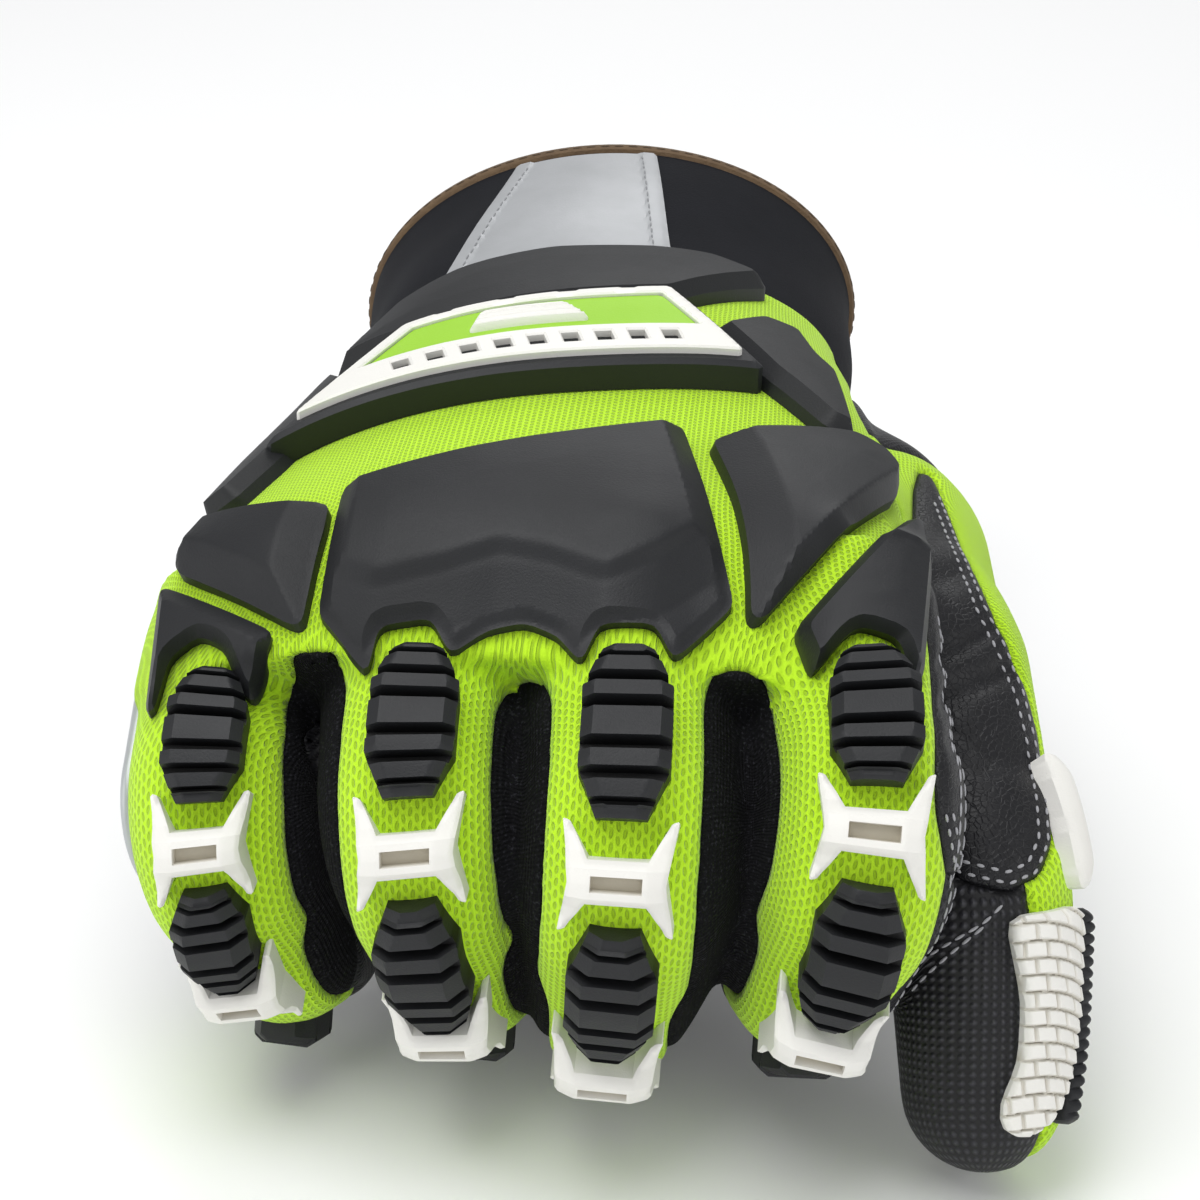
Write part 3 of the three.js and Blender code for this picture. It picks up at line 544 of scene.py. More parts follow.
def flow_of(points):
    """How the cloth runs: millimetres across and along the hand, a finger or the thumb, for each point."""
    middle = points[:, 0] - 2
    top = np.interp(-points[:, 1], -HAND[:, 0], HAND[:, 2] + HAND[:, 4])
    u = middle - np.sign(middle) * (points[:, 2] - top) * np.clip((abs(middle) - 12) / 20, 0, 1)
    v = -points[:, 1] + np.maximum(-points[:, 1], 0) * 0.2
    best = np.full(len(points), 1e9)
    share = np.zeros(len(points))
    finger_u, finger_v = u.copy(), v.copy()
    for name, path in (*paths.items(), ("thumb", thumb)):
        s, side, out = path.find(points)
        gap = np.hypot(side, out) - path.size(s)
        start, length, root = RUNS[name]
        nearer = (gap < best) & (s > start) & (gap < RUN_NEAR)
        best = np.where(nearer, gap, best)
        turn = np.arctan2(side, out)
        around = np.where(abs(turn) < 1, np.sin(turn), np.sign(turn) * (abs(turn) - 1 + math.sin(1)))
        finger_u = np.where(nearer, root + around * path.size(s), finger_u)
        finger_v = np.where(nearer, s - 5, finger_v)
        reach = np.clip((s - start) / length, 0, 1) * np.clip((RUN_NEAR - gap) / 3, 0, 1)
        share = np.where(nearer, reach * reach * (3 - 2 * reach), share)
    return np.stack([u + (finger_u - u) * share, v + (finger_v - v) * share, share], 1)


# The run is then evened out over neighbours, so that the weave has no steps where a finger meets the hand.
flow = flow_of(spots)
pairs = np.array([[vert.index for vert in edge.verts] for edge in shell.edges])
degree = np.bincount(pairs.ravel(), minlength=len(spots))[:, None]
for _ in range(24):
    total = np.zeros_like(flow)
    np.add.at(total, pairs[:, 0], flow[pairs[:, 1]])
    np.add.at(total, pairs[:, 1], flow[pairs[:, 0]])
    flow = (flow + total / degree) / 2
skin_tree = BVHTree.FromBMesh(shell)


def panel_of(number, name):
    """One panel cut out of the shell, with a wall turned inwards."""
    bm = shell.copy()
    layer = bm.verts.layers.float_vector.new("flow")
    for vert, run in zip(bm.verts, flow):
        vert[layer] = run
    away = [face for face in bm.faces if face.material_index != number or face.tag]
    bmesh.ops.delete(bm, geom=away, context="FACES")
    for face in bm.faces:
        face.material_index = 0
    for vert in bm.verts:
        vert.co = Vector(place(vert.co))
    made = object_of(bm, name, False)
    wall = made.modifiers.new("wall", "SOLIDIFY")
    wall.thickness = 1.5 * MM
    wall.offset = -1
    return made


# The cloths: an open knit whose columns of holes slant to and fro, a fine stretch knit, an embossed palm
# leather, a smooth leather, and the thumb's leather with rows of grip dots.
KNIT = {"wale": 0.84, "course": 0.95, "half": (0.25, 0.33), "slant": 0.5}
lime_knit = Material("lime_knit", 0.85, Sheen_Weight=0.15, Sheen_Roughness=0.5, Specular_IOR_Level=0.3)
across, along = lime_knit.run()
across = across / KNIT["wale"]
column = across.math("FLOOR")
odd = column.math("PINGPONG", 1.0)
one = across - column - 0.5
rise = along / KNIT["course"] + odd * 0.5
two = rise.math("FRACT") - 0.5
lean = one + two * (odd - 0.5) * KNIT["slant"]
oval = ((lean / KNIT["half"][0]) ** 2.0 + (two / KNIT["half"][1]) ** 2.0).math("SQRT")
hole = (1.0 - (oval - 0.75) / 0.5).clamped()
ridge = (one * 2 * math.pi).math("COSINE") * 0.15 + 0.5
fuzz = lime_knit.grain(2600, 2.0)
strand = lime_knit.mix(lime_knit.grain(60), srgb(182, 232, 22), srgb(200, 246, 46))
strand = lime_knit.mix(fuzz * 0.45, strand, srgb(170, 216, 26))
lime_knit.set(Base_Color=lime_knit.mix(hole * 0.55, strand, srgb(130, 168, 8)))
lime_knit.bump(ridge - hole * 0.7 + fuzz * 0.25, 0.9, 0.0004)

GUSSET = {"wale": 0.62, "course": 0.5}
gusset_knit = Material("gusset_knit", 0.95, Specular_IOR_Level=0.15)
across, along = gusset_knit.run()
ribs = (across * (2 * math.pi / GUSSET["wale"])).math("SINE")
loops = (along * (2 * math.pi / GUSSET["course"]) + across * 3.0).math("SINE")
# Painted glints: the noise's brightest specks are painted paler, standing in for light sparkling on the fibres; the
# same noise roughens the bump.
fibre_and_glint_noise = gusset_knit.grain(2200, 2.0, 0.7)
painted_glint_share = ((fibre_and_glint_noise - 0.56) * 7.0).clamped()
strand = gusset_knit.mix(gusset_knit.grain(50), srgb(11, 11, 13), srgb(19, 19, 22))
gusset_knit.set(Base_Color=gusset_knit.mix(painted_glint_share * 0.4, strand, srgb(72, 72, 80)))
gusset_knit.bump(ribs * 0.3 + loops * 0.25 + fibre_and_glint_noise * 0.9, 0.9, 0.0003)

EMBOSS = 1.1
palm_leather = Material("palm_leather", 0.5, Specular_IOR_Level=0.3)
across, along = palm_leather.run()
over, under = ((way * (math.pi / EMBOSS)).math("SINE").math("ABSOLUTE") for way in (across + along, across - along))
weave = over.math("MAXIMUM", under)
pores = palm_leather.grain(900)
hide = palm_leather.mix(palm_leather.grain(45), srgb(16, 16, 18), srgb(27, 27, 30))
palm_leather.set(Base_Color=palm_leather.mix((weave ** 6.0) * 0.35, hide, srgb(58, 58, 64)),
                 Roughness=pores * 0.25 + 0.36)
palm_leather.bump(weave * 0.8 + pores * 0.4, 0.7, 0.00035)

patch_leather = Material("patch_leather", 0.42, Specular_IOR_Level=0.35)
spot = patch_leather.node("TexCoord", outlet=3)
pebble = patch_leather.node("TexVoronoi", {"feature": "DISTANCE_TO_EDGE"}, Vector=spot, Scale=1100.0)
crease = patch_leather.grain(260, 4.0, 0.7)
patch_leather.set(Base_Color=patch_leather.mix(crease, srgb(13, 13, 15), srgb(27, 27, 31)),
                  Roughness=crease * 0.3 + 0.3)
patch_leather.bump(pebble.math("MINIMUM", 0.12) * 3.0 + crease * 0.8, 0.6, 0.0003)

GRIP = {"pitch": 1.15, "half": 0.42}
grip_leather = Material("grip_leather", 0.45, Specular_IOR_Level=0.35)
column, row = ((way / GRIP["pitch"]).math("FRACT") - 0.5 for way in grip_leather.run())
dot = (1.0 - (column ** 2.0 + row ** 2.0).math("SQRT") / GRIP["half"]).clamped()
grip_leather.set(Base_Color=grip_leather.mix(dot * grip_leather.grain(70) * 1.4, srgb(19, 19, 21), srgb(72, 72, 78)),
                 Roughness=0.55 - dot * 0.2)
grip_leather.bump(dot + grip_leather.grain(1200) * 0.2, 0.9, 0.0004)

PANEL_LOOKS = {
    "thumb_crotch_patch": (patch_leather, "black_leather"),
    "thumb_back_panel": (lime_knit, "lime_knit"),
    "back_panel": (lime_knit, "lime_knit"),
    "fourchette_pinky_ring": (gusset_knit, "black_gusset"),
    "fourchette_ring_middle": (gusset_knit, "black_gusset"),
    "fourchette_middle_index": (gusset_knit, "black_gusset"),
    "thumb_front_panel": (grip_leather, "black_leather"),
    "palm_panel": (palm_leather, "black_leather"),
}
for number, name in enumerate(PANELS):
    panel = panel_of(number, "cloth_" + name)
    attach(panel, "root")
    extra = {"back_panel": [f"{finger}_back_panel" for finger in FINGERS],
             "palm_panel": [f"{finger}_front_panel" for finger in FINGERS]}.get(name, [])
    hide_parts(name, *extra)
    look, slot = PANEL_LOOKS[name]
    panel.data.materials.clear()
    panel.data.materials.append(look.made)


# Moulded rubber lies on the cloth. Each piece is drawn as an outline on a small grid, whose points are pulled
# onto the outline and onto its shoulder, so that both edges are crisp, and then laid on the hand's form.
def softened(outline, radius):
    """An outline with its corners rounded."""
    outline = np.asarray(outline, float)
    drawn = []
    for before, corner, after in zip(np.roll(outline, 1, axis=0), outline, np.roll(outline, -1, axis=0)):
        one, two = (corner + unit(end - corner) * min(radius, 0.45 * np.linalg.norm(end - corner))
                    for end in (before, after))
        drawn += [one, one * 0.25 + corner * 0.5 + two * 0.25, two]
    return np.array(drawn)


def grid_over(outline, cell, margin=1.0):
    """The two rows of places whose crossings make an even grid over an outline."""
    low, high = np.min(outline, axis=0) - margin, np.max(outline, axis=0) + margin
    return [np.linspace(a, b, int((b - a) / cell) + 2) for a, b in zip(low, high)]


def relief(name, grid, shape, height, lay, shoulders=(), under=-0.8, corners=(), tone=None):
    """A closed rubber piece over a grid, inside a shape: an outline, or a function of points that is positive
    inside. Its top lies at height(points, depth inside), its underside at under, and lay puts both on the
    form. The attribute tone says how deep in a groove or a window each point lies; the rubber paints shade there by
    it."""
    inside = shape if callable(shape) else lambda points: inside_distance(points, shape)
    us, vs = grid
    bm = bmesh.new()
    for vert, i, j in on_grid(bm, us, vs):
        vert.co = (us[i], vs[j], 0)
    depth = inside(np.array([vert.co[:2] for vert in bm.verts]))
    margin = np.median(np.diff(vs)) * 2.5
    bmesh.ops.delete(bm, geom=[vert for vert, far in zip(bm.verts, depth) if far < -margin], context="VERTS")
    bm.verts.ensure_lookup_table()
    bm.verts.index_update()
    spots = np.array([vert.co[:2] for vert in bm.verts])
    held = np.zeros(len(spots), bool)
    for corner in corners:
        nearest = np.argmin(((spots - corner) ** 2).sum(1))
        spots[nearest] = corner
        held[nearest] = True
    ends = np.array([[vert.index for vert in edge.verts] for edge in bm.edges])
    depth = inside(spots)
    for level in (0, *shoulders):
        a, b = depth[ends[:, 0]] - level, depth[ends[:, 1]] - level
        cross = np.flatnonzero(a * b < 0)
        low, high = np.zeros(len(cross)), np.ones(len(cross))
        first, second = spots[ends[cross, 0]], spots[ends[cross, 1]]
        for _ in range(9):
            share = (low + high) / 2
            at = first * (1 - share)[:, None] + second * share[:, None]
            near = (inside(at) - level) * a[cross] > 0
            low, high = np.where(near, share, low), np.where(near, high, share)
        which = np.where(share < 0.5, ends[cross, 0], ends[cross, 1])
        for k in np.argsort(-np.minimum(share, 1 - share)):
            if not held[which[k]]:
                spots[which[k]] = at[k]
        held[which] = True
        depth = inside(spots)
        for i in which:
            if abs(depth[i] - level) < 0.3:
                depth[i] = level
    for vert, spot in zip(bm.verts, spots):
        vert.co = (*spot, 0)
    for face in list(bm.faces):
        corner = face.verts
        if len(corner) == 4:
            fixed = [held[vert.index] for vert in corner]
            for k in (0, 1):
                if fixed[k] and fixed[k + 2] and not (fixed[1 - k] and fixed[3 - k]):
                    bmesh.utils.face_split(face, corner[k], corner[k + 2])
                    break
    out = [face for face in bm.faces if min(depth[vert.index] for vert in face.verts) < -1e-3
           or max(depth[vert.index] for vert in face.verts) < 1e-3]
    bmesh.ops.delete(bm, geom=out, context="FACES")
    bmesh.ops.delete(bm, geom=[vert for vert in bm.verts if not vert.link_faces], context="VERTS")
    top = bmesh.ops.extrude_face_region(bm, geom=bm.faces[:], use_keep_orig=True)["geom"]
    lifted = {item for item in top if isinstance(item, bmesh.types.BMVert)}
    spots = np.array([vert.co[:2] for vert in bm.verts])
    depth = inside(spots)
    rise = np.array([vert in lifted for vert in bm.verts])
    laid = lay(spots, np.where(rise, height(spots, np.maximum(depth, 0)), under))
    for vert, spot in zip(bm.verts, place(laid)):
        vert.co = Vector(spot)
    made = object_of(bm, name, sharp=28)
    shade = made.data.attributes.new("tone", "FLOAT", "POINT")
    shade.data.foreach_set("value", tone(spots, depth) if tone else np.zeros(len(spots)))
    return made
bed = form_of(0.9, 1.6, 22)
bed_spots = [vert.co.copy() for vert in bed.vertices]
bed_normals = [vert.normal.copy() for vert in bed.vertices]
bed_faces = [tuple(face.vertices) for face in bed.polygons]
bed_tree = BVHTree.FromPolygons(bed_spots, bed_faces)
RAY_START = 40
STEEPEST = 0.62


def bed_at(origin, direction):
    """Where a ray meets the form, and the form's smooth normal there."""
    spot, _, index, _ = bed_tree.ray_cast(Vector(origin), Vector(direction))
    if spot is None:
        spot, _, index, _ = bed_tree.find_nearest(Vector(origin) + Vector(direction) * RAY_START)
    face = bed_faces[index]
    shares = [1 / max((bed_spots[i] - spot).length, 1e-3) ** 2 for i in face]
    return spot, sum((bed_normals[i] * share for i, share in zip(face, shares)), Vector()).normalized()


def plate_frame(outline, lean, turn, high):
    """A drawing plane over part of the hand, leaning forward and turned sideways: the outline in that plane,
    and what lays drawn points on the form. An outline given in plan lies on the piece's top, so it is
    dropped to that height over the form first."""
    normal = unit(np.array([math.tan(math.radians(turn)), -math.tan(math.radians(lean)), 1.0]))
    across = unit(np.cross((0, 1, 0), normal))
    upward = np.cross(normal, across)
    dropped = []
    for x, y in outline:
        for z in np.arange(30, -50, -0.25):
            if bed_tree.find_nearest(Vector((x, y, z)))[3] <= high:
                break
        dropped.append((x, y, z))
    middle = np.mean(dropped, axis=0)
    flat = np.stack([(dropped - middle) @ across, (dropped - middle) @ upward], 1)

    def lay(points, heights):
        starts = middle + points[:, :1] * across + points[:, 1:] * upward + normal * RAY_START
        laid = []
        for start, rise in zip(starts, heights):
            spot, facing = bed_at(start, -normal)
            laid.append(np.array(spot) + normal * rise / max(np.array(facing) @ normal, STEEPEST))
        return np.array(laid)

    return flat, lay


PLATES = {
    # name: forward lean, sideways turn, height, shoulder, plan outline
    "wrist_plate": (0, 0, 3.6, 1.5, [
        (-37, 56), (-30, 72), (-21.5, 80), (-7, 87.5), (9, 91), (18.5, 91.5), (27.5, 88), (25.5, 85), (13.5, 68),
        (-26.5, 54)]),
    "wing_thumb_side": (0, 20, 3.4, 1.5, [
        (20.5, 58), (27, 65.5), (33.5, 64.5), (36.5, 56), (39.5, 52), (42.5, 33), (38, 33), (29, 43.5)]),
    "wing_pinky_side": (0, -45, 3.4, 1.3, [
        (-33.5, 45.5), (-36, 53), (-41, 50), (-45, 40), (-49, 28), (-49.5, 14), (-45, 13.5), (-41, 21.5)]),
    "knuckle_plate": (32, 0, 4.2, 1.7, [
        (-26.7, 0.4), (17.6, 19.6), (26.7, -16.3), (19.6, -25.5), (16.9, -21.4), (9.8, -21.9), (8, -26.7),
        (4.5, -22.6), (0.2, -21.2), (-4.5, -22.2), (-9, -25), (-12, -20.9), (-18.6, -21.4), (-19.4, -27),
        (-27, -18.7)]),
    "pinky_plate_upper": (25, -15, 3.6, 1.3, [
        (-50, -1.5), (-47, 6), (-28.8, -1.3), (-28.7, -6), (-29.6, -19), (-31, -18.8), (-48.8, -4.6)]),
    "pinky_plate_lower": (38, 0, 3.2, 1.2, [
        (-50.8, -5.2), (-32.6, -19.4), (-34.6, -22.6), (-36.4, -22.4), (-39.6, -18.8), (-43.2, -16.2),
        (-47, -17.2), (-48, -23.8), (-49.3, -22.8)]),
    "index_plate_upper": (15, 20, 3.8, 1.4, [
        (22.8, 18.2), (26.2, 21.6), (41.4, 31), (46.6, 31), (49.2, 27.5), (48.6, 19.6), (31.6, -16.5),
        (30, -16.4)]),
    "index_plate_lower": (38, 12, 3.2, 1.2, [
        (50.2, 14.5), (52.2, 15), (51.8, -23.5), (50.7, -27), (48.5, -19.5), (43.3, -18.7), (41.5, -20.4),
        (37.9, -25.4), (35.1, -18)]),
}


def rubber(name, roughness, light, dark, deep, edge_scuff_and_highlight):
    """Moulded rubber: two close tones in soft clouds, a fine mould grain, painted shade deep in its grooves and
    windows (on the white, shade with dust), and paler convex edges, partly scuffed and partly a painted highlight."""
    look = Material(name, roughness, Specular_IOR_Level=0.35)
    tone = look.node("Attribute", {"attribute_name": "tone"}, 2)
    cloud = look.grain(55, 4.0)
    pits = look.grain(3200, 2.0)
    edge = look.node("NewGeometry", outlet=7)
    # Paler convex edges: partly scuffing, partly a painted highlight where the edges catch the light.
    edge_scuff_and_highlight_share = ((edge - 0.53) * 9.0).math("MULTIPLY", cloud, clamp=True)
    colour = look.mix(edge_scuff_and_highlight_share * 0.6, look.mix(cloud, light, dark), edge_scuff_and_highlight)
    # Painted shade: where tone is high the colour turns to the deep colour, dark in the black rubber's grooves; on
    # the white it is shade with dust.
    look.set(Base_Color=look.mix(tone, colour, deep), Roughness=cloud * 0.16 + pits * 0.1 + (roughness - 0.13))
    look.bump(pits + cloud * 0.3, 0.35, 0.00012)
    return look


# Each rubber's third colour is painted shade for its grooves and windows (beige on the white: shade with dust); the
# last is its paler edge, partly scuffing and partly painted highlight.
black_rubber = rubber("black_rubber", 0.52, srgb(32, 33, 36), srgb(25, 26, 28), srgb(8, 8, 9), srgb(56, 58, 61))
white_rubber = rubber("white_rubber", 0.45, srgb(236, 235, 230), srgb(226, 224, 218), srgb(190, 183, 166),
                      srgb(244, 243, 240))
green_rubber = rubber("green_rubber", 0.5, srgb(158, 210, 56), srgb(144, 196, 44), srgb(110, 150, 30),
                      srgb(176, 226, 84))


def dress(made, look, slot, *nodes):
    """A finished piece: its material, its ride and the CAD nodes that it stands for. The slot is not used."""
    made.data.materials.clear()
    made.data.materials.append(look.made)
    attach(made, "root")
    if nodes:
        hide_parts(*nodes)
    return made


# The knuckle plate steps down along a wave, drawn in plan. Some edges slope away broadly: the outline corners
# at both ends of the edge, and the rise per millimetre.
WAVE = [(-40, -12), (-27.8, -13.3), (-19.5, -17), (-11, -15.5), (-3.9, -13.2), (3, -14), (10.1, -16.5),
        (17, -12.5), (23.1, -6.5), (34, -2)]
WAVE_STEP = (-2, -1, 0, 1, 2, 9), (1.15, 1.11, 0.98, 0.85, 0.8, 0.34)
SLOPES = {
    "pinky_plate_upper": [(2, 4, 0.5), (5, 6, 0.55)], "index_plate_upper": [(7, 0, 0.5), (5, 6, 1.0)],
    "knuckle_plate": [(1, 2, 1.1), (0, 14, 1.4)], "pinky_plate_lower": [(0, 1, 0.8)],
    "index_plate_lower": [(0, 1, 1.2)],
}
for name, (lean, turn, high, shoulder, outline) in PLATES.items():
    count = len(outline)
    stepped = name == "knuckle_plate"
    flat, lay = plate_frame([*outline, *(WAVE if stepped else ())], lean, turn, high)
    if stepped:
        ticks = np.arange(flat[count, 0], flat[-1, 0], 0.25)
        kernel = np.exp(-np.linspace(-2, 2, 15) ** 2)
        raw = np.pad(np.interp(ticks, *flat[count:].T), 7, "edge")
        wave = np.convolve(raw, kernel / kernel.sum(), "valid")

    def height(points, depth):
        rise = high * np.interp(depth, (0, shoulder, shoulder + 6), (0.3, 0.93, 1))
        if stepped:
            rise = rise * np.interp(np.interp(points[:, 0], ticks, wave) - points[:, 1], *WAVE_STEP)
        for one, other, rate in SLOPES.get(name, ()):
            along = unit(flat[other] - flat[one])
            inward = np.array([-along[1], along[0]])
            inward = inward * np.sign((flat[:count].mean(0) - flat[one]) @ inward)
            rise = np.minimum(rise, 1.0 + rate * np.maximum((points - flat[one]) @ inward, 0))
        return np.maximum(rise, 0.8)

    shape = softened(flat[:count], 1.3)
    piece = relief("rubber_" + name, grid_over(shape, 0.5), shape, height, lay, (shoulder,), -0.9)
    dress(piece, black_rubber, "black_rubber", name)


# The badge between the wrist plate and the knuckles: a rubber block with a white trapezoid frame round a
# green field. Plain upright vents run along the frame's long side, and a small plain louvre is on the field.
BADGE = np.array([(-37.5, 26), (25, 42.5), (13, 63.5), (-25.5, 51)], float)
flat, lay_badge = plate_frame(BADGE, 5, 0, 5.2)
long_side = unit(flat[1] - flat[0])
turned = np.array([long_side, (-long_side[1], long_side[0])])
flat = flat @ turned.T
badge_corner = flat[0].copy()
flat = flat - badge_corner


def lay(points, heights):
    """The badge is drawn square to its long lower edge."""
    return lay_badge((points + badge_corner) @ turned, heights)


def shrunk(outline, amount):
    """A convex outline moved inwards by an amount, or outwards where it is negative."""
    middle = outline.mean(0)
    lines = []
    for a, b in zip(outline, np.roll(outline, -1, axis=0)):
        normal = unit(np.array([-(b - a)[1], (b - a)[0]]))
        normal = normal if (middle - a) @ normal > 0 else -normal
        lines.append((a + normal * amount, b - a))
    corners = []
    for (a, d), (b, e) in zip([lines[-1], *lines[:-1]], lines):
        share = ((b - a)[0] * e[1] - (b - a)[1] * e[0]) / (d[0] * e[1] - d[1] * e[0])
        corners.append(a + d * share)
    return np.array(corners)


BADGE_RIM = 2.2
BADGE_FRAME = 2.3
BADGE_BOTTOM = 3.4
BAR = 8.4
VENT = {"pitch": 4.9, "wide": 2.5, "low": 2.7, "high": 6.3, "from_edge": 4.2}
base = softened(shrunk(flat, -BADGE_RIM), 1.2)
block = relief("badge_block", grid_over(base, 0.6), base,
               lambda points, depth: np.interp(depth, (0, 0.9), (3.2, 3.9)), lay, (0.9,))
dress(block, black_rubber, "black_rubber", "badge_base")
outer = softened(flat, 0.8)
well = shrunk(flat, BADGE_FRAME)
mid_u = flat[:, 0].mean()
kept = shrunk(flat, VENT["from_edge"])
first, last = (np.interp(VENT["high"], *kept[side].T[::-1]) for side in ([0, 3], [1, 2]))
vent_spots = [spot for spot in (mid_u + VENT["pitch"] * k for k in range(-7, 8))
              if first < spot - VENT["wide"] / 2 and spot + VENT["wide"] / 2 < last]


def upper_window(points):
    return np.minimum(inside_distance(points, well), points[:, 1] - BAR)


def white_frame(points):
    band = np.minimum(points[:, 1] - VENT["low"], VENT["high"] - points[:, 1])
    across = np.min([abs(points[:, 0] - spot) for spot in vent_spots], axis=0)
    vents = np.minimum(VENT["wide"] / 2 - across, band)
    return np.minimum.reduce([inside_distance(points, outer), -upper_window(points), -vents])


us, vs = grid_over(outer, 0.5)
vent_sides = (round(spot + side * VENT["wide"] / 2, 3) for spot in vent_spots for side in (-1, 1))
grid = [np.array(sorted({*np.round(us, 3), *vent_sides})),
        np.array(sorted({*np.round(vs, 3), VENT["low"], VENT["high"], BAR}))]
rim = relief("badge_rim", grid, white_frame, lambda points, depth: np.interp(depth, (0, 0.3), (4.9, 5.2)), lay,
             (0.3,), BADGE_BOTTOM)
dress(rim, white_rubber, "white_rubber", "badge_frame")
field = relief("badge_field_green", grid_over(well, 0.6), lambda points: upper_window(points) - 0.15,
               lambda points, depth: 4.5 + 0 * depth, lay, (), BADGE_BOTTOM)
dress(field, green_rubber, "green_rubber", "badge_field")
mid_v = (BAR + flat[2:, 1].mean() - BADGE_FRAME) / 2
LOUVRE = [(-9, -3), (9, -3), (6.6, 3), (-6.6, 3)]
louvre_outline = [(mid_u + u, mid_v + v) for u, v in LOUVRE]


def louvre_height(points, depth):
    share = (points[:, 1] - mid_v + 3) / 1.55
    return 4.8 + 0.9 * np.clip(depth / 0.5, 0, 1) - 0.55 * np.clip(1 - abs(share - np.round(share)) / 0.22, 0, 1)


louvre = relief("badge_louvre", grid_over(louvre_outline, 0.4), softened(louvre_outline, 0.9), louvre_height, lay,
                (), 3.9)
dress(louvre, white_rubber, "white_rubber")


# Finger armour: a ribbed rubber pad on each of the first two bones, a plain ribbed cap near the tip, and a
# white clip like a small tent over each joint, whose four legs run out to points on the knit. Pads and clips
# are placed along a finger from its bends.
FINGER_PADS = {
    "pinky": {"first": (-14, -2.4), "second": (3.4, 15), "tip": (3, 13), "half": 5.2, "clips": (0.6, -6)},
    "ring": {"first": (-17, -3), "second": (3.8, 22.2), "tip": (4, 15), "half": 5.6, "clips": (0.4, -3.4)},
    "middle": {"first": (-20, -3.2), "second": (3.8, 21.8), "tip": (4, 15), "half": 5.75, "clips": (0.4, -3.2)},
    "index": {"first": (-16, -3.2), "second": (3.2, 19.6), "tip": (4, 14.5), "half": 5.8, "clips": (-0.2, -3.2)},
}
SEAT = 0.2
PAD_HEIGHT = 4.0
PAD_FACETS = {"first": (1.5, 1.1), "second": (2.1, 2.0)}
RIBS = (0.07, 0.095, 0.095, 0.175, 0.095, 0.095, 0.07)
GROOVES = (0.04, 0.07, 0.08, 0.08, 0.07, 0.04)
GROOVE_LEAN = 0.16
GROOVE_FLOOR = 0.36
PAD_END = 0.56
PAD_RAMP = 0.27


def on_finger(path, start, stop):
    """Lays drawn points on a finger: u runs along its back from a place, v across it. Also gives where each
    distance on the centre line lies along the back."""
    s = np.linspace(start, stop, 200)
    walk = path.at(s, 0, path.size(s) + SEAT + 2)
    walked = np.concatenate([[0], np.cumsum(np.linalg.norm(np.diff(walk, axis=0), axis=1))])

    def lay(points, heights):
        at = np.interp(points[:, 0], walked, s)
        seat = path.size(at) + SEAT
        drop = np.sqrt(np.maximum(seat ** 2 - points[:, 1] ** 2, 9))
        return path.at(at, points[:, 1], np.where(heights < 0, drop, seat) + heights)

    return s, walked, lay


def ribbed(name, path, start, stop, half, ribs, grooves, high, facet, slope):
    """A pad of ribs with grooves between them, narrower at both ends and bevelled along its sides."""
    _, walked, lay = on_finger(path, start, stop)
    length = walked[-1]
    total = sum(ribs) + sum(grooves)
    marks = [0]
    walls = []
    for index, rib in enumerate(ribs):
        marks.append(marks[-1] + rib / total * length)
        if index < len(grooves):
            walls.append((marks[-1], marks[-1] + grooves[index] / total * length))
            marks.append(walls[-1][1])
    us = sorted({0.0, length, *np.linspace(0, length, 40),
                 *(u for a, b in walls for u in (a, a + GROOVE_LEAN, b - GROOVE_LEAN, b))})
    us = [u for k, u in enumerate(us) if k == 0 or u - us[k - 1] > 0.02]
    narrow, ramp = half * PAD_END, PAD_RAMP * length
    side = [(0, narrow), (ramp, half), (length - ramp, half), (length, narrow)]
    outline = [*[(u, -v) for u, v in side], *side[::-1]]

    def height(points, depth):
        across = np.interp(points[:, 0], *zip(*side)) - abs(points[:, 1])
        top = high - slope * np.clip(1 - across / facet, 0, 1)
        top = top - np.interp(points[:, 0], (0, 0.2, marks[1] - 0.1, marks[1], marks[-2], marks[-2] + 0.1,
                                             length - 0.2, length), (0.9, 0.6, 0.6, 0, 0, 0.6, 0.6, 0.9))
        for a, b in walls:
            low = np.interp(points[:, 0], (a, a + GROOVE_LEAN, b - GROOVE_LEAN, b), (0, 1, 1, 0))
            top = top - low * np.maximum(top - high * GROOVE_FLOOR, 0)
        return top

    # The grooves' tone: the black rubber paints shade in them by it.
    def sunk(points, depth):
        return np.max([(points[:, 0] > a + 0.05) & (points[:, 0] < b - 0.05) for a, b in walls], axis=0) * 1.0

    return relief(name, (np.array(us), np.linspace(-half, half, 33)), outline, height, lay, (facet,),
                  corners=outline, tone=sunk)


CLIP_LENGTH = 15.6
CLIP_SPAN = 10.0
CLIP_PEAK = (0, 1.75, 3.6, CLIP_LENGTH / 2), (4.9, 4.7, 2.9, 1.0)
WINDOW = {"half": 0.95, "wide": 0.56, "wall": 0.12, "deep": 1.7}


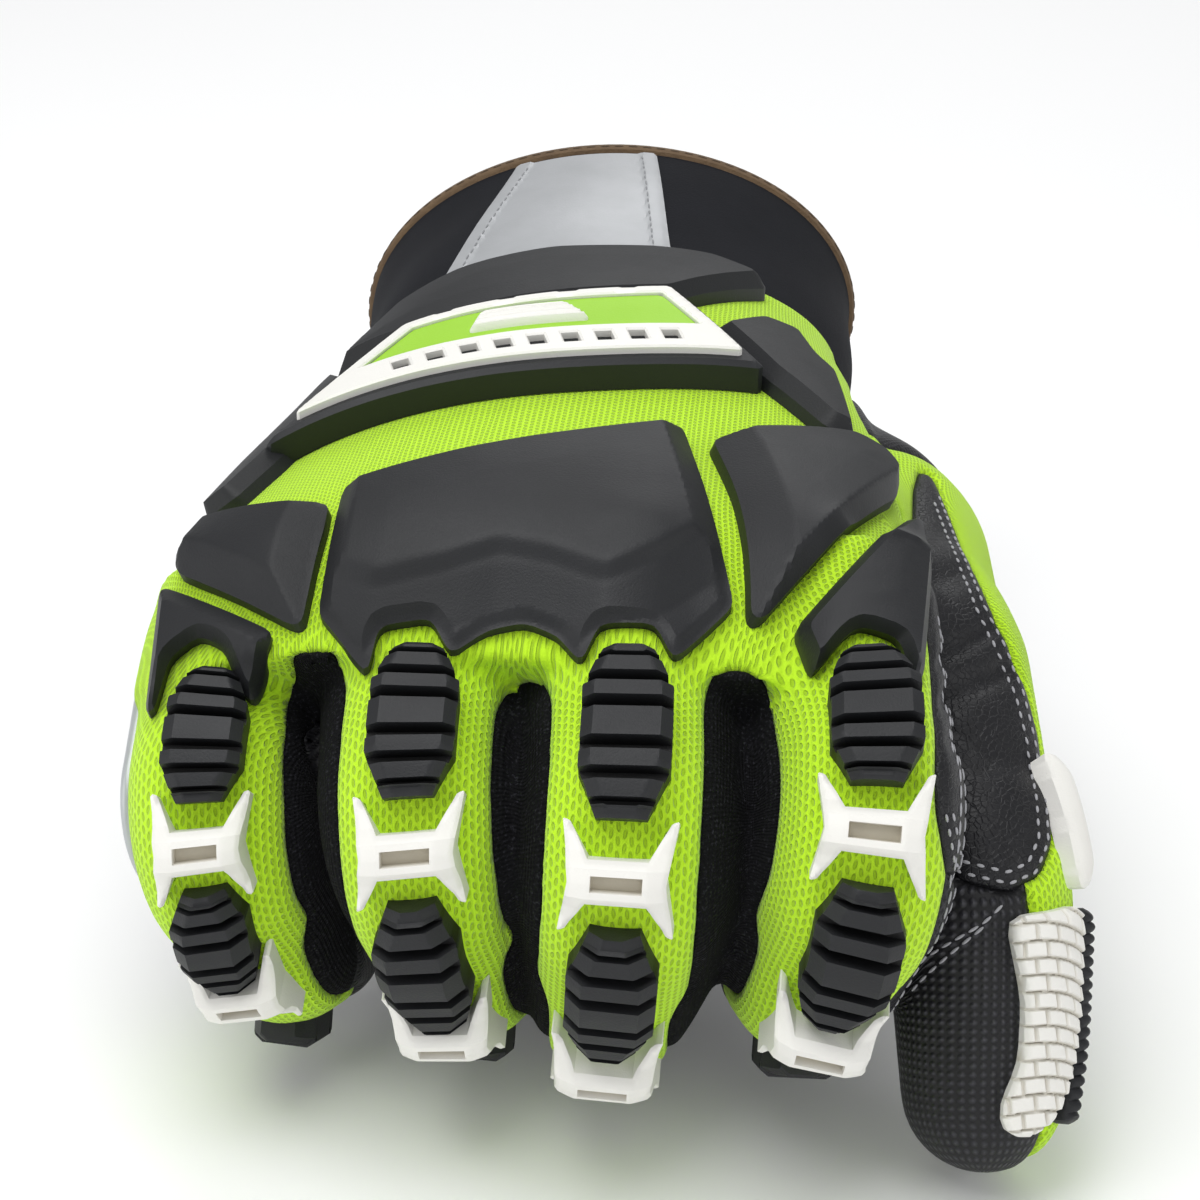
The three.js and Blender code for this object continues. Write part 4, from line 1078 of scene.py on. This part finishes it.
def clip(name, path, s, half):
    """A white clip: a peaked bar with a sunk window, on four legs that taper to points."""
    centre_line, walked, lay = on_finger(path, s - CLIP_SPAN, s + CLIP_SPAN)
    centre = np.interp(s, centre_line, walked)
    long = CLIP_LENGTH / 2
    tip, neck, waist = half * 1.26, half * 0.66, half * 1.06
    quarter = [(long, tip), (long - 0.3, tip - 0.9), (2.7, neck)]
    outline = [*quarter, *[(u, -v) for u, v in reversed(quarter)], (0, -waist),
               *[(-u, -v) for u, v in quarter], *[(-u, v) for u, v in reversed(quarter)], (0, waist)]
    outline = [(u + centre, v) for u, v in outline]
    inner = half * WINDOW["wide"]
    window = [(centre + side * WINDOW["half"], over * inner) for side, over in ((-1, -1), (1, -1), (1, 1), (-1, 1))]

    # Also the window floor's tone, by which the white rubber paints shade with dust there.
    def sunk(points, depth=None):
        return np.clip(inside_distance(points, window) / WINDOW["wall"], 0, 1)

    def height(points, depth):
        bar = np.interp(abs(points[:, 0] - centre), *CLIP_PEAK)
        bar = bar - 1.3 * np.clip((abs(points[:, 1]) - neck * 0.95) / 3.2, 0, 1) ** 1.2
        bar = np.maximum(bar, 0.9) - 0.35 * (1 - np.clip(depth / 0.45, 0, 1))
        return bar - WINDOW["deep"] * sunk(points)

    us = sorted({*np.linspace(centre - long - 0.3, centre + long + 0.3, 66),
                 *(centre + side * u for u in (1.75, WINDOW["half"], WINDOW["half"] - WINDOW["wall"])
                   for side in (-1, 1))})
    vs = sorted({*np.linspace(-tip - 0.3, tip + 0.3, 64),
                 *(side * v for v in (inner, inner - WINDOW["wall"]) for side in (-1, 1))})
    return relief(name, (np.array(us), np.array(vs)), outline, height, lay, under=-0.6, corners=outline, tone=sunk)


for finger, sizes in FINGER_PADS.items():
    path = paths[finger]
    first, second = path.bends
    half = sizes["half"]
    for part, facets in PAD_FACETS.items():
        start, stop = sizes[part]
        pad = ribbed(f"{finger}_{part}_ribs", path, first + start, first + stop, half, RIBS, GROOVES, PAD_HEIGHT,
                     *facets)
        dress(pad, black_rubber, "black_rubber", f"{finger}_{part}_pad")
    start, stop = sizes["tip"]
    cap = ribbed(f"{finger}_tip_ribs", path, second + start, second + stop, half * 0.9, (0.3, 0.3, 0.3),
                 (0.05, 0.05), 2.8, 1.2, 0.9)
    dress(cap, black_rubber, "black_rubber", f"{finger}_tip_pad")
    for part, s in (("knuckle", first + sizes["clips"][0]), ("tip", second + sizes["clips"][1])):
        tent = clip(f"{finger}_{part}_tent", path, s, half)
        dress(tent, white_rubber, "white_rubber", f"{finger}_{part}_clip")


# Thumb armour of moulded rubber: a white guard of small scales down the back of the thumb, a smooth white
# guard on its knuckle, and a black beaded rail beside the scales.
SCALE_GUARD = [(-14, -3.4), (-14.6, 9.4), (0, 8.9), (8, 6.8), (13, 3.4), (15, -0.5), (14, -3.6), (10.5, -4),
               (5, -1.4), (-3, -1.0)]
GUARD_AT = 129
SCALE = {"row": 2.25, "wide": 3.1, "gap": 0.3, "bow": 0.035}
KNUCKLE_GUARD = [(-7, 7.4), (-6.5, 13), (5.5, 13.4), (6.5, 8.4)]
KNUCKLE_AT = 107
RAIL = [(-14, 10.6), (0, 9.8), (13.4, 4.6), (14.4, 7.8), (1, 13), (-14, 13.8)]
BEAD = 1.55


def on_thumb(at):
    """Lays drawn points round the thumb: u runs along it from a place, v round it."""
    def lay(points, heights):
        s = at + points[:, 0]
        reach = thumb.size(s) + SEAT
        angle = points[:, 1] / reach
        return thumb.at(s, (reach + heights) * np.sin(angle), (reach + heights) * np.cos(angle))
    return lay


def scale_parts(points):
    """How far forward in its scale each point lies, and how deep in the groove between scales."""
    run = (points[:, 0] - SCALE["bow"] * points[:, 1] ** 2) / SCALE["row"]
    row = np.floor(run)
    fore = run - row
    side = (points[:, 1] / SCALE["wide"] + 0.5 * (row % 2)) % 1
    gap = np.minimum(np.minimum(fore, 1 - fore) * SCALE["row"], np.minimum(side, 1 - side) * SCALE["wide"])
    return fore, np.clip(1 - gap / SCALE["gap"], 0, 1)


def scale_height(points, depth):
    fore, groove = scale_parts(points)
    return 1.9 + 0.45 * fore - 0.75 * groove - 0.9 * (1 - np.clip(depth / 0.9, 0, 1)) ** 2


def knuckle_height(points, depth):
    return 1.6 + 1.6 * np.sqrt(np.clip(depth / 2.2, 0, 1))


def rail_height(points, depth):
    bead = abs(np.sin(points[:, 0] * math.pi / BEAD)) ** 0.6
    return 0.9 + (1.0 + 0.75 * bead) * np.sqrt(np.clip(depth / 1.5, 0, 1))


# The grooves between scales take a tone, by which the white rubber paints shade with dust in them.
guard = relief("thumb_scales", grid_over(SCALE_GUARD, 0.2), softened(SCALE_GUARD, 2.2), scale_height,
               on_thumb(GUARD_AT), tone=lambda points, depth: scale_parts(points)[1] * 0.7)
dress(guard, white_rubber, "white_rubber", "thumb_scale_guard")
guard = relief("thumb_knuckle_cap", grid_over(KNUCKLE_GUARD, 0.35), softened(KNUCKLE_GUARD, 2.2), knuckle_height,
               on_thumb(KNUCKLE_AT), (0.8,))
dress(guard, white_rubber, "white_rubber", "thumb_knuckle_guard")
rail = relief("thumb_bead_rail", grid_over(RAIL, 0.22), softened(RAIL, 1.0), rail_height, on_thumb(GUARD_AT))
dress(rail, black_rubber, "black_rubber", "thumb_edge_strip")


# Silver piping: a thin cord in silver cloth, caught in the seam down the outer side of the little finger. Both
# ends taper into the seam.
PIPING = {"radius": 1.05, "range": (8, 64), "out": -1.3, "taper": 1.2}
silver = Material("silver_cloth", 0.35, Metallic=0.25, Base_Color=srgb(176, 179, 182))
path = paths["pinky"]
run = np.linspace(*PIPING["range"], 90)
turn = np.linspace(0, 2 * math.pi, 15)
reach = np.sqrt(path.size(run) ** 2 - PIPING["out"] ** 2) + 0.35
ends = np.clip(np.minimum(run - run[0], run[-1] - run) / PIPING["taper"], 0, 1)
fat = (PIPING["radius"] * np.sqrt(ends))[:, None]
rows = path.at(run[:, None], fat * np.cos(turn) - reach[:, None], PIPING["out"] + fat * np.sin(turn))
bm = bmesh.new()
wrapped(bm, place(rows))
dress(object_of(bm, "side_piping_silver"), silver, "grey_trim", "side_piping")


# The cuff is a neoprene sleeve, bound round its rim with a folded woven tape. A reflective band is sewn on
# its back, with a folded hem along both edges.
CUFF = {"y": (90.3, 136), "x": (2, -0.5), "z": (-13, -18), "wide": (39.4, 42), "high": (23.6, 30), "roll": (0, 7)}
CUFF_WALL = 2.6
CUFF_SIDES = 120


def cloth(name, roughness, scale, dark, light, weave, strength, depth, **inputs):
    """A plain cloth: two close tones in soft clouds, and a fine weave."""
    look = Material(name, roughness, **inputs)
    look.set(Base_Color=look.mix(look.grain(scale), dark, light))
    look.bump(look.grain(weave, 2.0), strength, depth)
    return look


def cuff_ring(y, grow):
    """A ring round the cuff, in slow soft folds that fade out at both ends."""
    part = (y - CUFF["y"][0]) / (CUFF["y"][1] - CUFF["y"][0])
    x, z, wide, high, roll = (CUFF[key][0] + (CUFF[key][1] - CUFF[key][0]) * part
                              for key in ("x", "z", "wide", "high", "roll"))
    angle = np.linspace(0, 2 * math.pi, CUFF_SIDES + 1)
    fold = 0.7 * np.sin(3 * angle + 4 * part + 0.6) * math.sin(math.pi * min(max(part, 0), 1))
    across = (wide + grow + fold) * np.cos(angle)
    rise = (high + grow + fold) * np.sin(angle)
    turn = math.radians(roll)
    return np.stack([x + across * math.cos(turn) - rise * math.sin(turn), np.full(len(angle), y),
                     z + across * math.sin(turn) + rise * math.cos(turn)], 1)


def sleeve(name, profile):
    """A ring-shaped wall whose section is a closed line of places along and out."""
    bm = bmesh.new()
    wrapped(bm, place([cuff_ring(y, grow) for y, grow in [*profile, profile[0]]]))
    return object_of(bm, name, sharp=50)


along_cuff = np.linspace(*CUFF["y"], 34)
neoprene = cloth("neoprene", 0.85, 90, srgb(17, 18, 22), srgb(27, 28, 33), 2400, 0.5, 0.0002,
                 Specular_IOR_Level=0.15)
cuff = sleeve("cuff_sleeve", [*[(y, 0) for y in along_cuff], *[(y, -CUFF_WALL) for y in along_cuff[::-1]]])
dress(cuff, neoprene, "black_neoprene", "cuff")
tape = cloth("binding_tape", 0.85, 400, srgb(78, 60, 42), srgb(112, 90, 64), 1800, 0.7, 0.0003)
binding = sleeve("cuff_tape", [
    (133.9, 0.25), (134.0, 0.6), (134.5, 0.8), (135.8, 0.8), (136.6, 0.4), (136.9, -0.6), (136.9, -2.0),
    (136.5, -3.1), (135.4, -3.5), (133.4, -3.55), (132.5, -3.4), (132.4, -2.9)])
dress(binding, tape, "brown_binding", "cuff_binding")

REFLECTIVE = [(-24.5, 86.5), (12, 89.5), (6.5, 131.9), (-17, 131.9)]
HEM = 2.9
HAND_END = 90.4
cuff_tree = BVHTree.FromPolygons(
    [tuple(spot) for y in along_cuff for spot in cuff_ring(y, 0)[:-1]],
    [tuple(row * CUFF_SIDES + column % CUFF_SIDES for row, column in ((i, j), (i, j + 1), (i + 1, j + 1), (i + 1, j)))
     for i in range(len(along_cuff) - 1) for j in range(CUFF_SIDES)])


def on_cuff(points, heights):
    """Lays drawn points on the cuff's back, and straight on over the hand before it."""
    laid = []
    for (x, y), rise in zip(points, heights):
        spot, normal, _, _ = cuff_tree.ray_cast(Vector((x, max(y, HAND_END), 40)), Vector((0, 0, -1)))
        normal = normal if normal.z > 0 else -normal
        laid.append(np.array(spot) + np.array((0, min(y - HAND_END, 0), 0)) + np.array(normal) * rise)
    return np.array(laid)


def hemmed(points, depth):
    """The band's height: thicker in the hems along its two long edges."""
    left, right = (np.interp(points[:, 1], (86.5, 131.9), ends) for ends in ((-24.5, -17), (12, 6.5)))
    gap = np.minimum(points[:, 0] - left, right - points[:, 0])
    return 0.65 + 0.35 * np.clip((HEM - gap) / 0.3, 0, 1) * np.clip(gap / 0.5, 0.3, 1)


band = relief("reflective_band", grid_over(REFLECTIVE, 0.55), REFLECTIVE, hemmed, on_cuff, under=0.15,
              corners=REFLECTIVE)
shiny = cloth("reflective_cloth", 0.42, 120, srgb(158, 160, 162), srgb(178, 180, 183), 3000, 0.3, 0.0001,
              Metallic=0.2)
dress(band, shiny, "grey_reflective", "reflective_strip")


# Stitches: pale thread in short dashes, two rows inside the patch at the thumb's root, two down the side of
# the first finger, and more rows on the thumb's front, the reflective band and the cuff's tape.
def stitched(name, lines, look, slot, tree, long=0.8, fat=0.24, pitch=2.2):
    """Rows of stitches along lines, each a small closed capsule lying on the cloth."""
    bm = bmesh.new()
    for line in lines:
        line = np.array([tree.find_nearest(Vector(point))[0] for point in line])
        walked = np.concatenate([[0], np.cumsum(np.linalg.norm(np.diff(line, axis=0), axis=1))])
        for at in np.arange(pitch / 2, walked[-1], pitch):
            before, here, after = (Vector([np.interp(at + step, walked, line[:, k]) for k in range(3)])
                                   for step in (-0.5, 0, 0.5))
            spot, normal, _, _ = tree.find_nearest(here)
            side = normal.cross((after - before).normalized()).normalized()
            ahead = side.cross(normal).normalized()
            for vert in bmesh.ops.create_uvsphere(bm, u_segments=6, v_segments=5, radius=1)["verts"]:
                x, y, z = vert.co
                lift = normal * (y * fat * 0.8 + 0.05)
                vert.co = Vector(place(spot + ahead * z * long + side * x * fat + lift))
    return dress(object_of(bm, name), look, slot)


def patch_line(outline):
    """A line drawn on the thumb root's patch, laid on the cloth."""
    drawn = []
    for (a, b), (c, d) in zip(outline, outline[1:]):
        for share in np.linspace(0, 1, 12, endpoint=False):
            start = PATCH_AT + PATCH_ACROSS * (a + (c - a) * share) + PATCH_RISE * (b + (d - b) * share)
            spot = skin_tree.ray_cast(Vector(start - PATCH_VIEW * 70), Vector(PATCH_VIEW))[0]
            if spot is not None:
                drawn.append(spot)
    return drawn


def tree_of(made):
    """A piece's surface, for stitches that lie on it."""
    spots = [tuple(np.array(vert.co) / MM + OPENING) for vert in made.data.vertices]
    return BVHTree.FromPolygons(spots, [tuple(face.vertices) for face in made.data.polygons])


white_thread = Material("white_thread", 0.7, Base_Color=srgb(158, 158, 162))
grey_thread = Material("grey_thread", 0.7, Base_Color=srgb(138, 140, 142))
brown_thread = Material("brown_thread", 0.8, Base_Color=srgb(70, 56, 42))
PATCH_ROWS = [
    [(-3.6, 28), (-1.6, 19), (0, 13), (3.2, 6.6), (5.4, 1.2), (6.8, -5), (7.5, -12), (7.6, -17), (6, -20.2),
     (3.2, -21.4), (-3, -20.2), (-5, -17.8), (-6.6, -12)],
    [(-2.6, 29), (-0.4, 19.4), (1.2, 13.5), (4.5, 7.2), (6.7, 1.6), (8.2, -5), (9, -12), (9, -17.6),
     (7.1, -21.4), (3.6, -22.9), (-3, -21.7), (-5.8, -19), (-7.6, -12)]]
SIDE_ANGLES = (68, 84)
FRONT_ROWS = [(113.5, 122, (-80, -12)), (115.3, 125, (-80, -24))]
BAND_ROWS = [((-21.6, 89), (-14.6, 131)), ((9, 91), (4.1, 131))]
s = np.linspace(8, 74, 80)
side_rows = [paths["index"].at(s, (paths["index"].size(s) + 0.5) * math.sin(turn),
                               (paths["index"].size(s) + 0.5) * math.cos(turn)) for turn in np.radians(SIDE_ANGLES)]
front_rows = []
for start, stop, angles in FRONT_ROWS:
    turn = np.radians(np.linspace(*angles, 30))
    s = np.linspace(stop, start, 30)
    front_rows.append(thumb.at(s, thumb.size(s) * np.sin(turn), thumb.size(s) * np.cos(turn)))
band_rows = [on_cuff(np.linspace(start, stop, 60), np.full(60, 0.9)) for start, stop in BAND_ROWS]
stitched("stitches_patch", map(patch_line, PATCH_ROWS), white_thread, "grey_trim", skin_tree, 0.55, 0.26, 1.9)
stitched("stitches_side", side_rows, white_thread, "grey_trim", skin_tree, 0.95, 0.22, 2.3)
stitched("stitches_front", front_rows, white_thread, "grey_trim", skin_tree, 0.8, 0.24, 2.1)
stitched("stitches_band", band_rows, grey_thread, "grey_trim", tree_of(band), 0.8, 0.16, 2.2)
stitched("stitches_tape", [cuff_ring(134.8, 1.3)], brown_thread, "brown_binding", tree_of(binding), 0.8, 0.14, 2.4)
